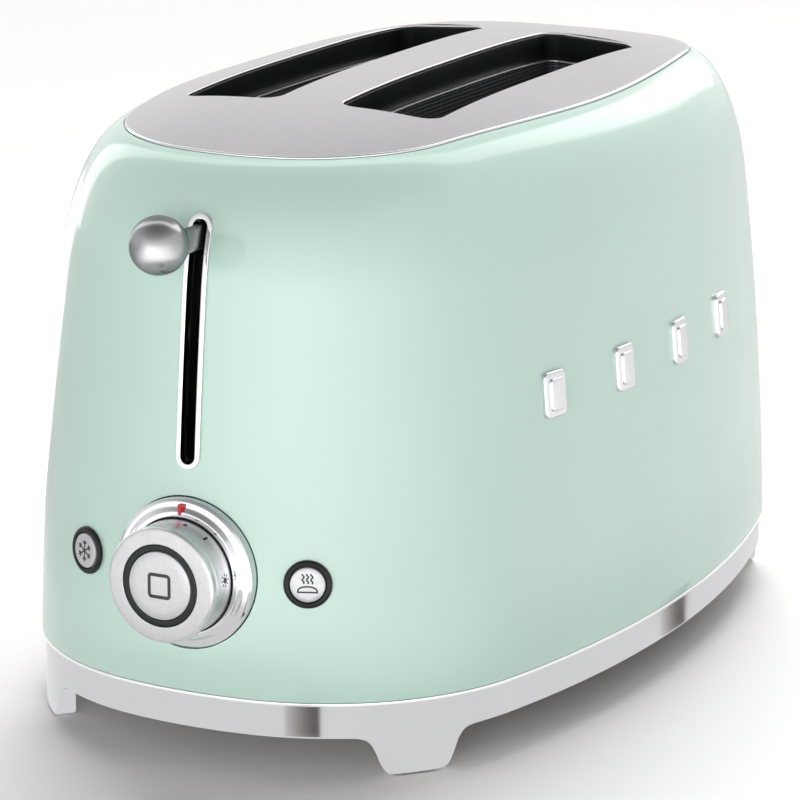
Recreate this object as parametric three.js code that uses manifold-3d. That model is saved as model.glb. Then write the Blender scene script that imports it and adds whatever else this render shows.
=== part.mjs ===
// Two-slice pop-up toaster with a deep-drawn enamelled shell. Millimetres, +Z up.
// The control end faces -Y and the long sides face -X and +X.
// The origin is on the standing surface, under the middle of the whole object's box.

import * as THREE from 'three';
import { mergeVertices } from 'three/addons/utils/BufferGeometryUtils.js';
import Module from 'manifold-3d';

const wasm = await Module();
wasm.setup();

// ---- Driving dimensions --------------------------------------------------------------

const GAP = 0.3; // clearance between neighbouring pieces

// Body: a plan outline of tangent arcs, drawn in as it rises to a domed top.
const BODY_WIDTH = 195;
const BODY_LENGTH = 323;
const SIDE_RADIUS = 418;
const CORNER_RADIUS = 77;
const END_RADIUS = 140;
const CROWN_Z = 200;
const CROWN_FALL_X = 7.6; // how far the dome falls from its crown to the plate's side
const CROWN_FALL_Y = 9.9; // and to the plate's end
const CROWN_POWER = 3; // above 2, the dome is flatter in the middle and falls near its edge
const SHELL_FOOT_Z = 25;
const SHOULDER_Z = 150; // where the wall starts to roll over
const SHELL_SHEET = 1.2;
const RIM_INSET = { side: 29.5, end: 28.4 }; // inset of the rim that frames the plate
const RIM_DROP = 0.6; // the rim lies this far under the plate's surface
const LEDGE_WIDTH = 5;

// Top plate and bread slots.
const PLATE_SHEET = 1.2;
const SLOT_X = 28.4;
const SLOT_Y = -3;
const SLOT_WIDTH = 34.6;
const SLOT_LENGTH = 156;
const SLOT_CORNER = 6;
const COLLAR_WALL = 0.8;
const COLLAR_FOOT_Z = 172;
const COLLAR_DROP = 0.9;

// Foot band.
const BAND_TOP_Z = SHELL_FOOT_Z - GAP;
const BAND_FOOT_Z = 13;
const BAND_INSET = 1.2;
const BAND_SHEET = 2.3;
const FOOT_ANGLE = THREE.MathUtils.degToRad(40);
const FOOT_HALF_WIDTH = 13; // half width of a foot, half way down
const FOOT_FLARE = 8; // power of the flare: higher is squarer
const FOOT_TIP_Z = 0.8;
const FOOT_TAPER = 1;

// Base.
const BASE_INSET = BAND_INSET + BAND_SHEET + 0.6;
const BASE_FOOT_Z = 13.5;
const BASE_SHEET = 1.2;
const PAD = { inset: 7.7, thick: 5, wide: 14 };
const SCREW = { x: 54, y: 100, head: 3.2, shank: 1.6, hole: 2 };
const TRAY = { halfWidth: 44, frontY: -85, footZ: 15.2, height: 5.8, sheet: 0.8 };
const TRAY_MOUTH = { halfWidth: 47, topZ: 22.4 };

// Lever.
const TRIM = { footZ: 95.6, topZ: 174, half: 4.2, opening: 2.5, proud: 1.1 };
const LEVER_Z = 167;
const LEVER_TRAVEL = 65;
const FIN = { half: 1.5, height: 8, tipY: -164, rootY: -96.5 };
const BALL = { radius: 9.1, y: -173.5, z: 169 };

// Dial and buttons.
// Depths are distances in front of the wall.
const CONTROL_Z = 63;
const BEZEL = { radius: 24, bore: 18.9, back: -8, edge: 1, lip: 3.4 };
const DIAL = { cap: 18.5, band: 18.1, bore: 13.1, back: -1.8, well: 2.3, step: 11.7, front: 16 };
const SHAFT = { radius: 3, hole: 3.3, back: -37.3, front: 2.1 };
const STOP = { radius: 10.9, stem: 2.5, tail: 4.3, back: 10.3, front: 16.2 };
const DIAL_RING = { inner: 11.2, outer: 12.8, back: 7.3, front: 15.7 };
const BUTTON_TURN = THREE.MathUtils.degToRad(22.8);
const BUTTON = { ring: 7.6, neck: 6.7, bore: 5.85, cap: 5.55, proud: 1.2, depth: 5 };

// Raised tablets on the +X side.
const TABLET = { wide: 11, high: 15, thick: 2, z: 111, middleY: -14, pitch: 41.2, corner: 2.2 };

// Toasting chamber.
const FRAME = { y: 86, half: 62, footZ: 22.5, topZ: 170, sheet: 1.2 };
const BOARD = { outerX: 51.5, innerX: 4.7, halfLength: 76, footZ: 44, topZ: 168, thick: 0.8 };
const RIBBON = { off: 1, half: 0.9, thick: 0.4, halfLength: 63, footZ: 54, topZ: 158, runs: 7 };
const GUIDE = { off: 14.6, wire: 1, halfLength: 73, footZ: 52, topZ: 167, wires: 8 };

// Carriage.
const LIFT = { half: 3.5, z: 118, thick: 2.5, frontY: -98, rearY: 81 };
const ROD = { x: 16, y: -103, radius: 2, bore: 2.4, topZ: 176 };
const BUSH = { radius: 4.5, height: 7 };
const SLIDER = { y: -96.2, sheet: 1.6, footZ: 108, topZ: 174, left: -9, right: 22, bar: 34 };
const SPRING = { radius: 4.2, wire: 0.55, turns: 7, footZ: 16 };
const MAGNET = { x: -21, y: -100, radius: 7.5, footZ: 15.2, topZ: 42.8 };

const ARC_STEPS = { side: 4, corner: 6, end: 4 };

// ---- Plan outline and wall profile -----------------------------------------------------

const HALF_WIDTH = BODY_WIDTH / 2;
const HALF_LENGTH = BODY_LENGTH / 2;
const SIDE_CENTRE = new THREE.Vector2(HALF_WIDTH - SIDE_RADIUS, 0);
const END_CENTRE = new THREE.Vector2(0, HALF_LENGTH - END_RADIUS);
const CORNER_CENTRE = circleCrossing(
  SIDE_CENTRE, SIDE_RADIUS - CORNER_RADIUS, END_CENTRE, END_RADIUS - CORNER_RADIUS);
const SIDE_SPAN = CORNER_CENTRE.clone().sub(SIDE_CENTRE).angle();
const END_START = CORNER_CENTRE.clone().sub(END_CENTRE).angle();

// The crossing of two circles that lies to the left of the line from a to b.
function circleCrossing(a, radiusA, b, radiusB) {
  const span = b.clone().sub(a);
  const distance = span.length();
  const along = (radiusA ** 2 - radiusB ** 2 + distance ** 2) / (2 * distance);
  const across = Math.sqrt(radiusA ** 2 - along ** 2);
  const unit = span.divideScalar(distance);
  return new THREE.Vector2(
    a.x + unit.x * along - unit.y * across,
    a.y + unit.y * along + unit.x * across);
}

// The point of the plan outline whose outward normal is at this angle, moved inwards by inset.
function outlinePoint(angle, inset) {
  const normal = new THREE.Vector2(Math.cos(angle), Math.sin(angle));
  const folded = Math.atan2(Math.abs(normal.y), Math.abs(normal.x));
  let centre = CORNER_CENTRE;
  let radius = CORNER_RADIUS;
  if (folded < SIDE_SPAN) {
    centre = SIDE_CENTRE;
    radius = SIDE_RADIUS;
  } else if (folded > END_START) {
    centre = END_CENTRE;
    radius = END_RADIUS;
  }
  return new THREE.Vector2(
    Math.sign(normal.x) * centre.x + normal.x * (radius - inset),
    Math.sign(normal.y) * centre.y + normal.y * (radius - inset));
}

function steps(from, to, count) {
  return Array.from({ length: count }, (_, i) => from + ((to - from) * i) / count);
}

// Mirrors the angles of one quarter, 0 to 90 degrees inclusive, into a whole turn.
function wholeTurn(quarter) {
  const back = [...quarter].reverse();
  return [
    ...quarter,
    ...back.slice(1).map((a) => Math.PI - a),
    ...quarter.slice(1).map((a) => Math.PI + a),
    ...back.slice(1, -1).map((a) => 2 * Math.PI - a),
  ];
}

const QUARTER = [
  ...steps(0, SIDE_SPAN, ARC_STEPS.side),
  ...steps(SIDE_SPAN, END_START, ARC_STEPS.corner),
  ...steps(END_START, Math.PI / 2, ARC_STEPS.end),
  Math.PI / 2,
];
const STATIONS = wholeTurn(QUARTER);

// How far the wall has drawn in at height z, below the shoulder.
function wallInset(z) {
  const rise = z - SHELL_FOOT_Z;
  return 0.03 * rise + 0.00035 * rise ** 2;
}

function wallSlope(z) {
  return 0.03 + 0.0007 * (z - SHELL_FOOT_Z);
}

// The rim runs closer to the outline at the ends than at the sides.
function rimInset(angle) {
  return THREE.MathUtils.lerp(RIM_INSET.side, RIM_INSET.end, Math.sin(angle) ** 2);
}

function crownHeight(x, y) {
  const acrossPlate = Math.abs(x) / (HALF_WIDTH - RIM_INSET.side);
  const alongPlate = Math.abs(y) / (HALF_LENGTH - RIM_INSET.end);
  return CROWN_Z - CROWN_FALL_X * acrossPlate ** CROWN_POWER
    - CROWN_FALL_Y * alongPlate ** CROWN_POWER;
}

function crownAt(angle, inset) {
  const p = outlinePoint(angle, inset);
  return crownHeight(p.x, p.y);
}

// The roll from wall to rim, as a curve of (inset, height).
function shoulderCurve(angle) {
  const inset = rimInset(angle);
  const rimZ = crownAt(angle, inset) - RIM_DROP;
  const start = new THREE.Vector2(wallInset(SHOULDER_Z), SHOULDER_Z);
  const startHandle = new THREE.Vector2(start.x + 20 * wallSlope(SHOULDER_Z), SHOULDER_Z + 20);
  const endHandle = new THREE.Vector2(inset - 10, rimZ - 3);
  return new THREE.CubicBezierCurve(
    start, startHandle, endHandle, new THREE.Vector2(inset, rimZ));
}

// ---- Geometry helpers ------------------------------------------------------------------

function signedVolume(geometry) {
  const p = geometry.attributes.position;
  const index = geometry.index;
  const [a, b, c] = [new THREE.Vector3(), new THREE.Vector3(), new THREE.Vector3()];
  let volume = 0;
  for (let i = 0; i < index.count; i += 3) {
    a.fromBufferAttribute(p, index.getX(i));
    b.fromBufferAttribute(p, index.getX(i + 1));
    c.fromBufferAttribute(p, index.getX(i + 2));
    volume += a.dot(b.cross(c)) / 6;
  }
  return volume;
}

// Merges shared vertices, drops slivers and turns the faces outwards.
function closed(geometry) {
  const bare = geometry.clone();
  bare.deleteAttribute('normal');
  bare.deleteAttribute('uv');
  const merged = mergeVertices(bare, 1e-4);
  const kept = [];
  for (let i = 0; i < merged.index.count; i += 3) {
    const corners = [0, 1, 2].map((k) => merged.index.getX(i + k));
    if (new Set(corners).size === 3) kept.push(corners);
  }
  merged.setIndex(kept.flat());
  if (signedVolume(merged) < 0) merged.setIndex(kept.flatMap(([a, b, c]) => [a, c, b]));
  return merged;
}

function toSolid(geometry) {
  const shape = closed(geometry);
  return new wasm.Manifold(new wasm.Mesh({
    numProp: 3,
    vertProperties: new Float32Array(shape.attributes.position.array),
    triVerts: new Uint32Array(shape.index.array),
  }));
}

function fromSolid(solid) {
  const mesh = solid.getMesh();
  const geometry = new THREE.BufferGeometry();
  geometry.setAttribute('position', new THREE.BufferAttribute(mesh.vertProperties, 3));
  geometry.setIndex(new THREE.BufferAttribute(mesh.triVerts, 1));
  return geometry;
}

function cut(blank, tools) {
  return fromSolid(tools.reduce((solid, tool) => solid.subtract(toSolid(tool)), toSolid(blank)));
}

function join(pieces) {
  return fromSolid(pieces.slice(1).reduce((s, piece) => s.add(toSolid(piece)), toSolid(pieces[0])));
}

function common(a, b) {
  return fromSolid(toSolid(a).intersect(toSolid(b)));
}

// Closes a ring of sections into a solid. Each row is one section, a closed loop of points.
function ringSolid(rows) {
  const around = rows.length;
  const across = rows[0].length;
  const index = [];
  for (let i = 0; i < around; i += 1) {
    for (let j = 0; j < across; j += 1) {
      const a = i * across + j;
      const b = i * across + ((j + 1) % across);
      const c = ((i + 1) % around) * across + ((j + 1) % across);
      const d = ((i + 1) % around) * across + j;
      index.push(a, b, c, a, c, d);
    }
  }
  const geometry = new THREE.BufferGeometry().setFromPoints(rows.flat());
  geometry.setIndex(index);
  return closed(geometry);
}

// A ring round the plan outline whose section is a list of (inset, height).
function outlineRing(angles, sectionAt) {
  return ringSolid(angles.map((angle) => sectionAt(angle).map(([inset, z]) => {
    const p = outlinePoint(angle, inset);
    return new THREE.Vector3(p.x, p.y, z);
  })));
}

function outlineShape(inset) {
  return new THREE.Shape(STATIONS.map((angle) => outlinePoint(angle, inset)));
}

function slab(shape, footZ, height, curveSegments = 6) {
  const options = { depth: height, bevelEnabled: false, curveSegments };
  return closed(new THREE.ExtrudeGeometry(shape, options).translate(0, 0, footZ));
}

const ALONG_X = new THREE.Matrix4().makeBasis(
  new THREE.Vector3(0, 1, 0), new THREE.Vector3(0, 0, 1), new THREE.Vector3(1, 0, 0));
const ALONG_Y = new THREE.Matrix4().makeBasis(
  new THREE.Vector3(-1, 0, 0), new THREE.Vector3(0, 0, 1), new THREE.Vector3(0, 1, 0));

// A shape of (y, z) made thick along X, from x to x + thick.
function sheetAcrossX(shape, x, thick) {
  return slab(shape, 0, thick, 2).applyMatrix4(ALONG_X).translate(x, 0, 0);
}

// A shape of (-x, z) made thick along Y, from y to y + thick.
function sheetAcrossY(shape, y, thick, curveSegments) {
  return slab(shape, 0, thick, curveSegments).applyMatrix4(ALONG_Y).translate(0, y, 0);
}

function box(x0, x1, y0, y1, z0, z1) {
  const geometry = new THREE.BoxGeometry(x1 - x0, y1 - y0, z1 - z0);
  return closed(geometry.translate((x0 + x1) / 2, (y0 + y1) / 2, (z0 + z1) / 2));
}

function pin(radius, footZ, topZ, x = 0, y = 0, sides = 12) {
  const geometry = new THREE.CylinderGeometry(radius, radius, topZ - footZ, sides);
  geometry.rotateX(Math.PI / 2).translate(x, y, (footZ + topZ) / 2);
  return closed(geometry);
}

// Turned about the Y axis from a closed list of (radius, y).
function turnedOnY(section, sides) {
  const points = section.map(([r, y]) => new THREE.Vector2(r, y));
  if (section[0][0] > 0) points.push(points[0].clone());
  return closed(new THREE.LatheGeometry(points, sides));
}

function roundedRectangle(x0, y0, x1, y1, radius) {
  const shape = new THREE.Shape();
  shape.moveTo(x0 + radius, y0);
  shape.lineTo(x1 - radius, y0);
  shape.absarc(x1 - radius, y0 + radius, radius, -Math.PI / 2, 0);
  shape.lineTo(x1, y1 - radius);
  shape.absarc(x1 - radius, y1 - radius, radius, 0, Math.PI / 2);
  shape.lineTo(x0 + radius, y1);
  shape.absarc(x0 + radius, y1 - radius, radius, Math.PI / 2, Math.PI);
  shape.lineTo(x0, y0 + radius);
  shape.absarc(x0 + radius, y0 + radius, radius, Math.PI, 1.5 * Math.PI);
  return shape;
}

function roundHole(x, y, radius) {
  return new THREE.Path().absarc(x, y, radius, 0, 2 * Math.PI, true);
}

// ---- Assembly helpers ------------------------------------------------------------------

function finish(color, roughness, metalness) {
  return new THREE.MeshStandardMaterial({ color, roughness, metalness });
}

const ENAMEL = finish(0xc8e4d7, 0.15, 0);
const BRUSHED_STEEL = finish(0xcfcac8, 0.35, 1);
const POLISHED_METAL = finish(0xd8d8d8, 0.12, 1);
const ALUMINIUM = finish(0xd2d2d4, 0.3, 1);
const DARK_COATING = finish(0x1b1b1d, 0.5, 0);
const DARK_PLASTIC = finish(0x23302c, 0.4, 0);
const PALE_PLASTIC = finish(0xdcdede, 0.35, 0);
const PLATED_SHEET = finish(0x9a9a98, 0.45, 1);
const MICA = finish(0xb9a98a, 0.6, 0);
const HEATER_WIRE = finish(0x6b6460, 0.5, 1);
const RUBBER = finish(0x8b8b8b, 0.8, 0);
const BOARD_GREEN = finish(0x2f6b45, 0.5, 0);
const COPPER = finish(0xb36b3c, 0.4, 1);

const body = new THREE.Group();

function add(name, geometry, material, parent = body) {
  const mesh = new THREE.Mesh(geometry, material);
  mesh.name = name;
  parent.add(mesh);
  return mesh;
}

// A group on the wall at this outline angle and height, with its +Y axis along the outward normal.
function wallGroup(angle, z) {
  const place = outlinePoint(angle, wallInset(z));
  const normal = new THREE.Vector3(Math.cos(angle), Math.sin(angle), wallSlope(z)).normalize();
  const sideways = new THREE.Vector3(-Math.sin(angle), Math.cos(angle), 0);
  const basis = new THREE.Matrix4().makeBasis(
    sideways.clone().negate(), normal, normal.clone().cross(sideways));
  const group = new THREE.Group();
  group.quaternion.setFromRotationMatrix(basis);
  group.position.set(place.x, place.y, z);
  group.updateMatrix();
  return group;
}

// ---- Shell -----------------------------------------------------------------------------

const BUTTON_ANGLES = { defrost: -Math.PI / 2 - BUTTON_TURN, reheat: -Math.PI / 2 + BUTTON_TURN };
const GLAND = { angle: Math.PI / 2, z: 36, flange: 7.5, neck: 5.4, bore: 4 };

function shellSection(angle) {
  const curve = shoulderCurve(angle);
  const outer = [SHELL_FOOT_Z, 65, 108].map((z) => [wallInset(z), z]);
  const roll = [0, 0.25, 0.5, 0.75, 1].map((t) => curve.getPoint(t).toArray());
  const inset = rimInset(angle);
  const ledgeInset = inset + LEDGE_WIDTH;
  const ledgeDrop = PLATE_SHEET + GAP;
  const ledge = [
    [inset, crownAt(angle, inset) - ledgeDrop],
    [ledgeInset, crownAt(angle, ledgeInset) - ledgeDrop],
    [ledgeInset, crownAt(angle, ledgeInset) - ledgeDrop - SHELL_SHEET],
  ];
  const innerRoll = [0.75, 0.4, 0].map((t) => {
    const p = curve.getPoint(t);
    const along = curve.getTangent(t);
    return [p.x + SHELL_SHEET * along.y, p.y - SHELL_SHEET * along.x];
  });
  const inner = [85, SHELL_FOOT_Z].map((z) => [wallInset(z) + SHELL_SHEET, z]);
  return [...outer, ...roll, ...ledge, ...innerRoll, ...inner];
}

// A straight-sided hole with round ends, cut along Y through the control end.
function leverHole(half) {
  const ends = TRIM.half - half;
  const shape = roundedRectangle(-half, TRIM.footZ + ends, half, TRIM.topZ - ends, half - 0.01);
  return sheetAcrossY(shape, -HALF_LENGTH, 40);
}

function wallHole(angle, z, radius) {
  const tool = new THREE.CylinderGeometry(radius, radius, 16, 20);
  return closed(tool.applyMatrix4(wallGroup(angle, z).matrix));
}

function bodyShell() {
  const dialHole = turnedOnY([[0, -HALF_LENGTH - 5], [BEZEL.radius + GAP, -HALF_LENGTH - 5],
    [BEZEL.radius + GAP, 20 - HALF_LENGTH], [0, 20 - HALF_LENGTH]], 32).translate(0, 0, CONTROL_Z);
  return cut(outlineRing(STATIONS, shellSection), [
    leverHole(TRIM.opening + 0.9),
    dialHole,
    wallHole(BUTTON_ANGLES.defrost, CONTROL_Z, BUTTON.neck + GAP),
    wallHole(BUTTON_ANGLES.reheat, CONTROL_Z, BUTTON.neck + GAP),
    wallHole(GLAND.angle, GLAND.z, GLAND.neck + GAP),
  ]);
}

add('body_shell', bodyShell(), ENAMEL);

// ---- Top plate and slot collars ----------------------------------------------------------

function slotShape(side, shrink) {
  const x = side * SLOT_X;
  return roundedRectangle(
    x - SLOT_WIDTH / 2 + shrink, SLOT_Y - SLOT_LENGTH / 2 + shrink,
    x + SLOT_WIDTH / 2 - shrink, SLOT_Y + SLOT_LENGTH / 2 - shrink, SLOT_CORNER - shrink);
}

function topPlate() {
  const dome = new THREE.BoxGeometry(BODY_WIDTH, BODY_LENGTH, 1, 14, 18, 1);
  const p = dome.attributes.position;
  for (let i = 0; i < p.count; i += 1) {
    const top = crownHeight(p.getX(i), p.getY(i));
    p.setZ(i, p.getZ(i) > 0 ? top : top - PLATE_SHEET);
  }
  const deep = { footZ: 150, height: 60 };
  const edge = new THREE.Shape(STATIONS.map((a) => outlinePoint(a, rimInset(a) + GAP)));
  const blank = common(dome, slab(edge, deep.footZ, deep.height));
  return cut(blank, [-1, 1].map((side) => slab(slotShape(side, 0), deep.footZ, deep.height)));
}

add('top_plate', topPlate(), BRUSHED_STEEL);

// The collar's loop at one shrink, with its long sides split so that it follows the dome.
function collarLoop(side, shrink) {
  const corners = slotShape(side, shrink).getPoints(4);
  const loop = [];
  corners.slice(0, -1).forEach((p, i) => {
    const next = corners[i + 1];
    const parts = p.distanceTo(next) > SLOT_WIDTH ? 6 : 1;
    steps(0, 1, parts).forEach((t) => loop.push(p.clone().lerp(next, t)));
  });
  return loop;
}

function slotCollar(side) {
  const outer = collarLoop(side, GAP);
  const inner = collarLoop(side, GAP + COLLAR_WALL);
  return ringSolid(outer.map((o, i) => {
    const top = crownHeight(o.x, o.y) - COLLAR_DROP;
    const n = inner[i];
    return [
      new THREE.Vector3(o.x, o.y, COLLAR_FOOT_Z), new THREE.Vector3(o.x, o.y, top),
      new THREE.Vector3(n.x, n.y, top), new THREE.Vector3(n.x, n.y, COLLAR_FOOT_Z),
    ];
  }));
}

add('slot_liner_left', slotCollar(-1), DARK_COATING);
add('slot_liner_right', slotCollar(1), DARK_COATING);

// ---- Foot band, feet and base -------------------------------------------------------------

// Distance along the outline from the middle of the nearest foot.
function footDistance(angle) {
  const folded = Math.atan2(Math.abs(Math.sin(angle)), Math.abs(Math.cos(angle)));
  return Math.abs(folded - FOOT_ANGLE) * CORNER_RADIUS;
}

function bandFoot(angle) {
  const share = 1 / (1 + (footDistance(angle) / FOOT_HALF_WIDTH) ** FOOT_FLARE);
  return { z: BAND_FOOT_Z - (BAND_FOOT_Z - FOOT_TIP_Z) * share, taper: FOOT_TAPER * share };
}

function bandSection(angle) {
  const { z, taper } = bandFoot(angle);
  const inner = BAND_INSET + BAND_SHEET;
  return [[BAND_INSET, BAND_TOP_Z], [BAND_INSET, BAND_FOOT_Z], [BAND_INSET + taper, z],
    [inner + taper, z], [inner, BAND_FOOT_Z], [inner, BAND_TOP_Z]];
}

function bandAngles() {
  const distances = [0, 7, 10, 12, 13.5, 15.5, 19];
  const nearFoot = distances.flatMap((d) => [FOOT_ANGLE - d / CORNER_RADIUS,
    FOOT_ANGLE + d / CORNER_RADIUS]);
  const reach = Math.max(...distances) / CORNER_RADIUS;
  const rest = QUARTER.filter((angle) => Math.abs(angle - FOOT_ANGLE) > reach + 0.03);
  return wholeTurn([...new Set([...rest, ...nearFoot])].sort((a, b) => a - b));
}

const BEHIND = { y0: 100, y1: HALF_LENGTH + 10 };

function baseBand() {
  const ring = outlineRing(bandAngles(), bandSection);
  const mouth = box(-TRAY_MOUTH.halfWidth, TRAY_MOUTH.halfWidth, BEHIND.y0, BEHIND.y1,
    BAND_FOOT_Z - 5, TRAY_MOUTH.topZ);
  return cut(ring, [mouth]);
}

add('base_band', baseBand(), POLISHED_METAL);

function footPad(angle, group) {
  const place = outlinePoint(angle, PAD.inset);
  group.position.set(place.x, place.y, 0);
  group.rotation.z = angle;
  return box(-PAD.thick / 2, PAD.thick / 2, -PAD.wide / 2, PAD.wide / 2, 0, BASE_FOOT_Z - GAP);
}

const FEET = {
  rear_right: FOOT_ANGLE,
  rear_left: Math.PI - FOOT_ANGLE,
  front_left: Math.PI + FOOT_ANGLE,
  front_right: -FOOT_ANGLE,
};
for (const [corner, angle] of Object.entries(FEET)) {
  const group = new THREE.Group();
  add(`foot_pad_${corner}`, footPad(angle, group), RUBBER, group);
  body.add(group);
}

const SCREW_PLACES = [[1, -1], [-1, -1], [1, 1], [-1, 1]].map(([i, j]) => [i * SCREW.x, j * SCREW.y]);

function basePlate() {
  const shape = outlineShape(BASE_INSET);
  shape.holes = SCREW_PLACES.map(([x, y]) => roundHole(x, y, SCREW.hole));
  return slab(shape, BASE_FOOT_Z, BASE_SHEET, 5);
}

add('base_plate', basePlate(), PLATED_SHEET);

SCREW_PLACES.forEach(([x, y], i) => {
  const head = pin(SCREW.head, BASE_FOOT_Z - GAP - 1.2, BASE_FOOT_Z - GAP, x, y, 16);
  const shank = pin(SCREW.shank, BASE_FOOT_Z - 1, BASE_FOOT_Z + 7, x, y, 10);
  add(`base_screw_${i + 1}`, join([head, shank]), PLATED_SHEET);
});

function trayBlock(shrink, footZ, height) {
  const half = TRAY.halfWidth - shrink;
  const front = TRAY.frontY + shrink;
  const strip = box(-half, half, front, HALF_LENGTH, footZ, footZ + height);
  return common(strip, slab(outlineShape(BASE_INSET + GAP + shrink), 0, 60));
}

function crumbTray() {
  const pocket = trayBlock(TRAY.sheet, TRAY.footZ + TRAY.sheet, TRAY.height);
  return cut(trayBlock(0, TRAY.footZ, TRAY.height), [pocket]);
}

add('crumb_tray', crumbTray(), PLATED_SHEET);

function trayHandle() {
  const half = TRAY_MOUTH.halfWidth - GAP;
  const inner = BAND_INSET + BAND_SHEET;
  const footZ = BAND_FOOT_Z + GAP;
  const topZ = TRAY_MOUTH.topZ - GAP;
  const ring = outlineRing(STATIONS, () => [
    [BAND_INSET, footZ], [BAND_INSET, topZ], [inner, topZ], [inner, footZ]]);
  return common(ring, box(-half, half, BEHIND.y0, BEHIND.y1, 0, 60));
}

add('tray_handle', trayHandle(), POLISHED_METAL);

// ---- Cord gland on the rear wall ------------------------------------------------------------

const glandGroup = wallGroup(GLAND.angle, GLAND.z);
add('cord_gland', turnedOnY([
  [GLAND.bore, -4], [GLAND.neck, -4], [GLAND.neck, 0.4], [GLAND.flange, 0.4],
  [GLAND.flange, 2], [GLAND.bore, 2]], 16), DARK_COATING, glandGroup);
body.add(glandGroup);

// ---- Lever slot trim --------------------------------------------------------------------------

function wallY(z) {
  if (z <= SHOULDER_Z) return -HALF_LENGTH + wallInset(z);
  const curve = shoulderCurve(-Math.PI / 2).getPoints(40);
  const above = curve.findIndex((p) => p.y >= z);
  const [a, b] = [curve[above - 1], curve[above]];
  return -HALF_LENGTH + THREE.MathUtils.mapLinear(z, a.y, b.y, a.x, b.x);
}

// The trim is a loop round a straight slot with round ends, laid on the curved wall.
function leverTrim() {
  const loop = [];
  const [low, high] = [TRIM.footZ + TRIM.half, TRIM.topZ - TRIM.half];
  steps(0, Math.PI, 6).forEach((a) => loop.push([high, Math.cos(a), Math.sin(a)]));
  steps(high, low, 6).forEach((z) => loop.push([z, -1, 0]));
  steps(Math.PI, 2 * Math.PI, 6).forEach((a) => loop.push([low, Math.cos(a), Math.sin(a)]));
  steps(low, high, 6).forEach((z) => loop.push([z, 1, 0]));
  const neck = TRIM.opening + 0.6;
  const section = [[TRIM.half, -TRIM.proud], [TRIM.half, -GAP], [neck, -GAP], [neck, 2],
    [TRIM.opening, 2], [TRIM.opening, -TRIM.proud]];
  return ringSolid(loop.map(([z, x, up]) => section.map(([r, depth]) => {
    const height = z + up * r;
    return new THREE.Vector3(x * r, wallY(height) + depth, height);
  })));
}

add('lever_slot_trim', leverTrim(), POLISHED_METAL);

// ---- Lever and carriage -------------------------------------------------------------------------

add('lever_stem', box(-FIN.half, FIN.half, FIN.tipY, FIN.rootY,
  LEVER_Z - FIN.height / 2, LEVER_Z + FIN.height / 2), POLISHED_METAL);
const ball = add('lever_ball', closed(new THREE.SphereGeometry(BALL.radius, 18, 12)),
  POLISHED_METAL);
ball.position.set(0, BALL.y, BALL.z);

function bush(footZ) {
  const sleeve = pin(BUSH.radius, footZ, footZ + BUSH.height, ROD.x, ROD.y);
  const web = box(ROD.x - 3, ROD.x + 3, ROD.y + 3, SLIDER.y + 0.5, footZ, footZ + BUSH.height);
  return [sleeve, web];
}

function carriage() {
  const back = SLIDER.y + SLIDER.sheet;
  const plate = box(SLIDER.left, SLIDER.right, SLIDER.y, back, SLIDER.footZ, SLIDER.topZ);
  const bar = box(-SLIDER.bar, SLIDER.bar, SLIDER.y, back, SLIDER.footZ + 4, LIFT.z - GAP);
  const whole = join([plate, bar, ...bush(SLIDER.footZ), ...bush(SLIDER.topZ - 20)]);
  return cut(whole, [pin(ROD.bore, SLIDER.footZ - 5, SLIDER.topZ + 5, ROD.x, ROD.y)]);
}

add('carriage', carriage(), PLATED_SHEET);

for (const [name, side] of [['left', -1], ['right', 1]]) {
  const x = side * SLOT_X;
  const top = LIFT.z + LIFT.thick;
  add(`bread_lift_${name}`,
    box(x - LIFT.half, x + LIFT.half, LIFT.frontY, LIFT.rearY, LIFT.z, top), PLATED_SHEET);
}

add('keeper_plate', box(MAGNET.x - 6, MAGNET.x + 6, MAGNET.y - 5, SLIDER.y + SLIDER.sheet,
  MAGNET.topZ + LEVER_TRAVEL + 0.4, SLIDER.footZ + 4 - GAP), PLATED_SHEET);

add('guide_rod', pin(ROD.radius, BASE_FOOT_Z + BASE_SHEET + GAP, ROD.topZ, ROD.x, ROD.y),
  POLISHED_METAL);

class Helix extends THREE.Curve {
  getPoint(t, target = new THREE.Vector3()) {
    const angle = 2 * Math.PI * SPRING.turns * t;
    const topZ = SLIDER.footZ - GAP - SPRING.wire;
    return target.set(
      ROD.x + SPRING.radius * Math.cos(angle),
      ROD.y + SPRING.radius * Math.sin(angle),
      THREE.MathUtils.lerp(SPRING.footZ + SPRING.wire, topZ, t));
  }
}

function liftSpring() {
  const wire = new THREE.Shape().absarc(0, 0, SPRING.wire, 0, 2 * Math.PI);
  const options = { steps: SPRING.turns * 9, extrudePath: new Helix(), curveSegments: 3 };
  return closed(new THREE.ExtrudeGeometry(wire, options));
}

add('lift_spring', liftSpring(), POLISHED_METAL);

// ---- Electrics ------------------------------------------------------------------------------------

function electromagnet() {
  const { x, y, radius, footZ, topZ } = MAGNET;
  return join([
    pin(radius, footZ, footZ + 2, x, y, 16),
    pin(radius - 1.5, footZ + 1, topZ - 4, x, y, 16),
    pin(radius, topZ - 5, topZ - 3, x, y, 16),
    pin(3, topZ - 4, topZ, x, y, 12),
  ]);
}

add('electromagnet', electromagnet(), COPPER);
add('circuit_board', box(-45, 45, -140, -112, 18, 19.6), BOARD_GREEN);
const shaftEndY = wallY(CONTROL_Z) - SHAFT.back;
add('potentiometer', box(-9, 9, shaftEndY + GAP, shaftEndY + 10, CONTROL_Z - 9, CONTROL_Z + 9),
  DARK_COATING);

function terminalBlock() {
  const shape = new THREE.Shape([[-18, 30], [18, 30], [18, 44], [-18, 44]]
    .map(([x, z]) => new THREE.Vector2(x, z)));
  shape.holes = [-11, 0, 11].map((x) => roundHole(x, 37, 2.6));
  return sheetAcrossY(shape, FRAME.y + FRAME.sheet + GAP, 11, 5);
}

add('terminal_block', terminalBlock(), PALE_PLASTIC);

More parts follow.
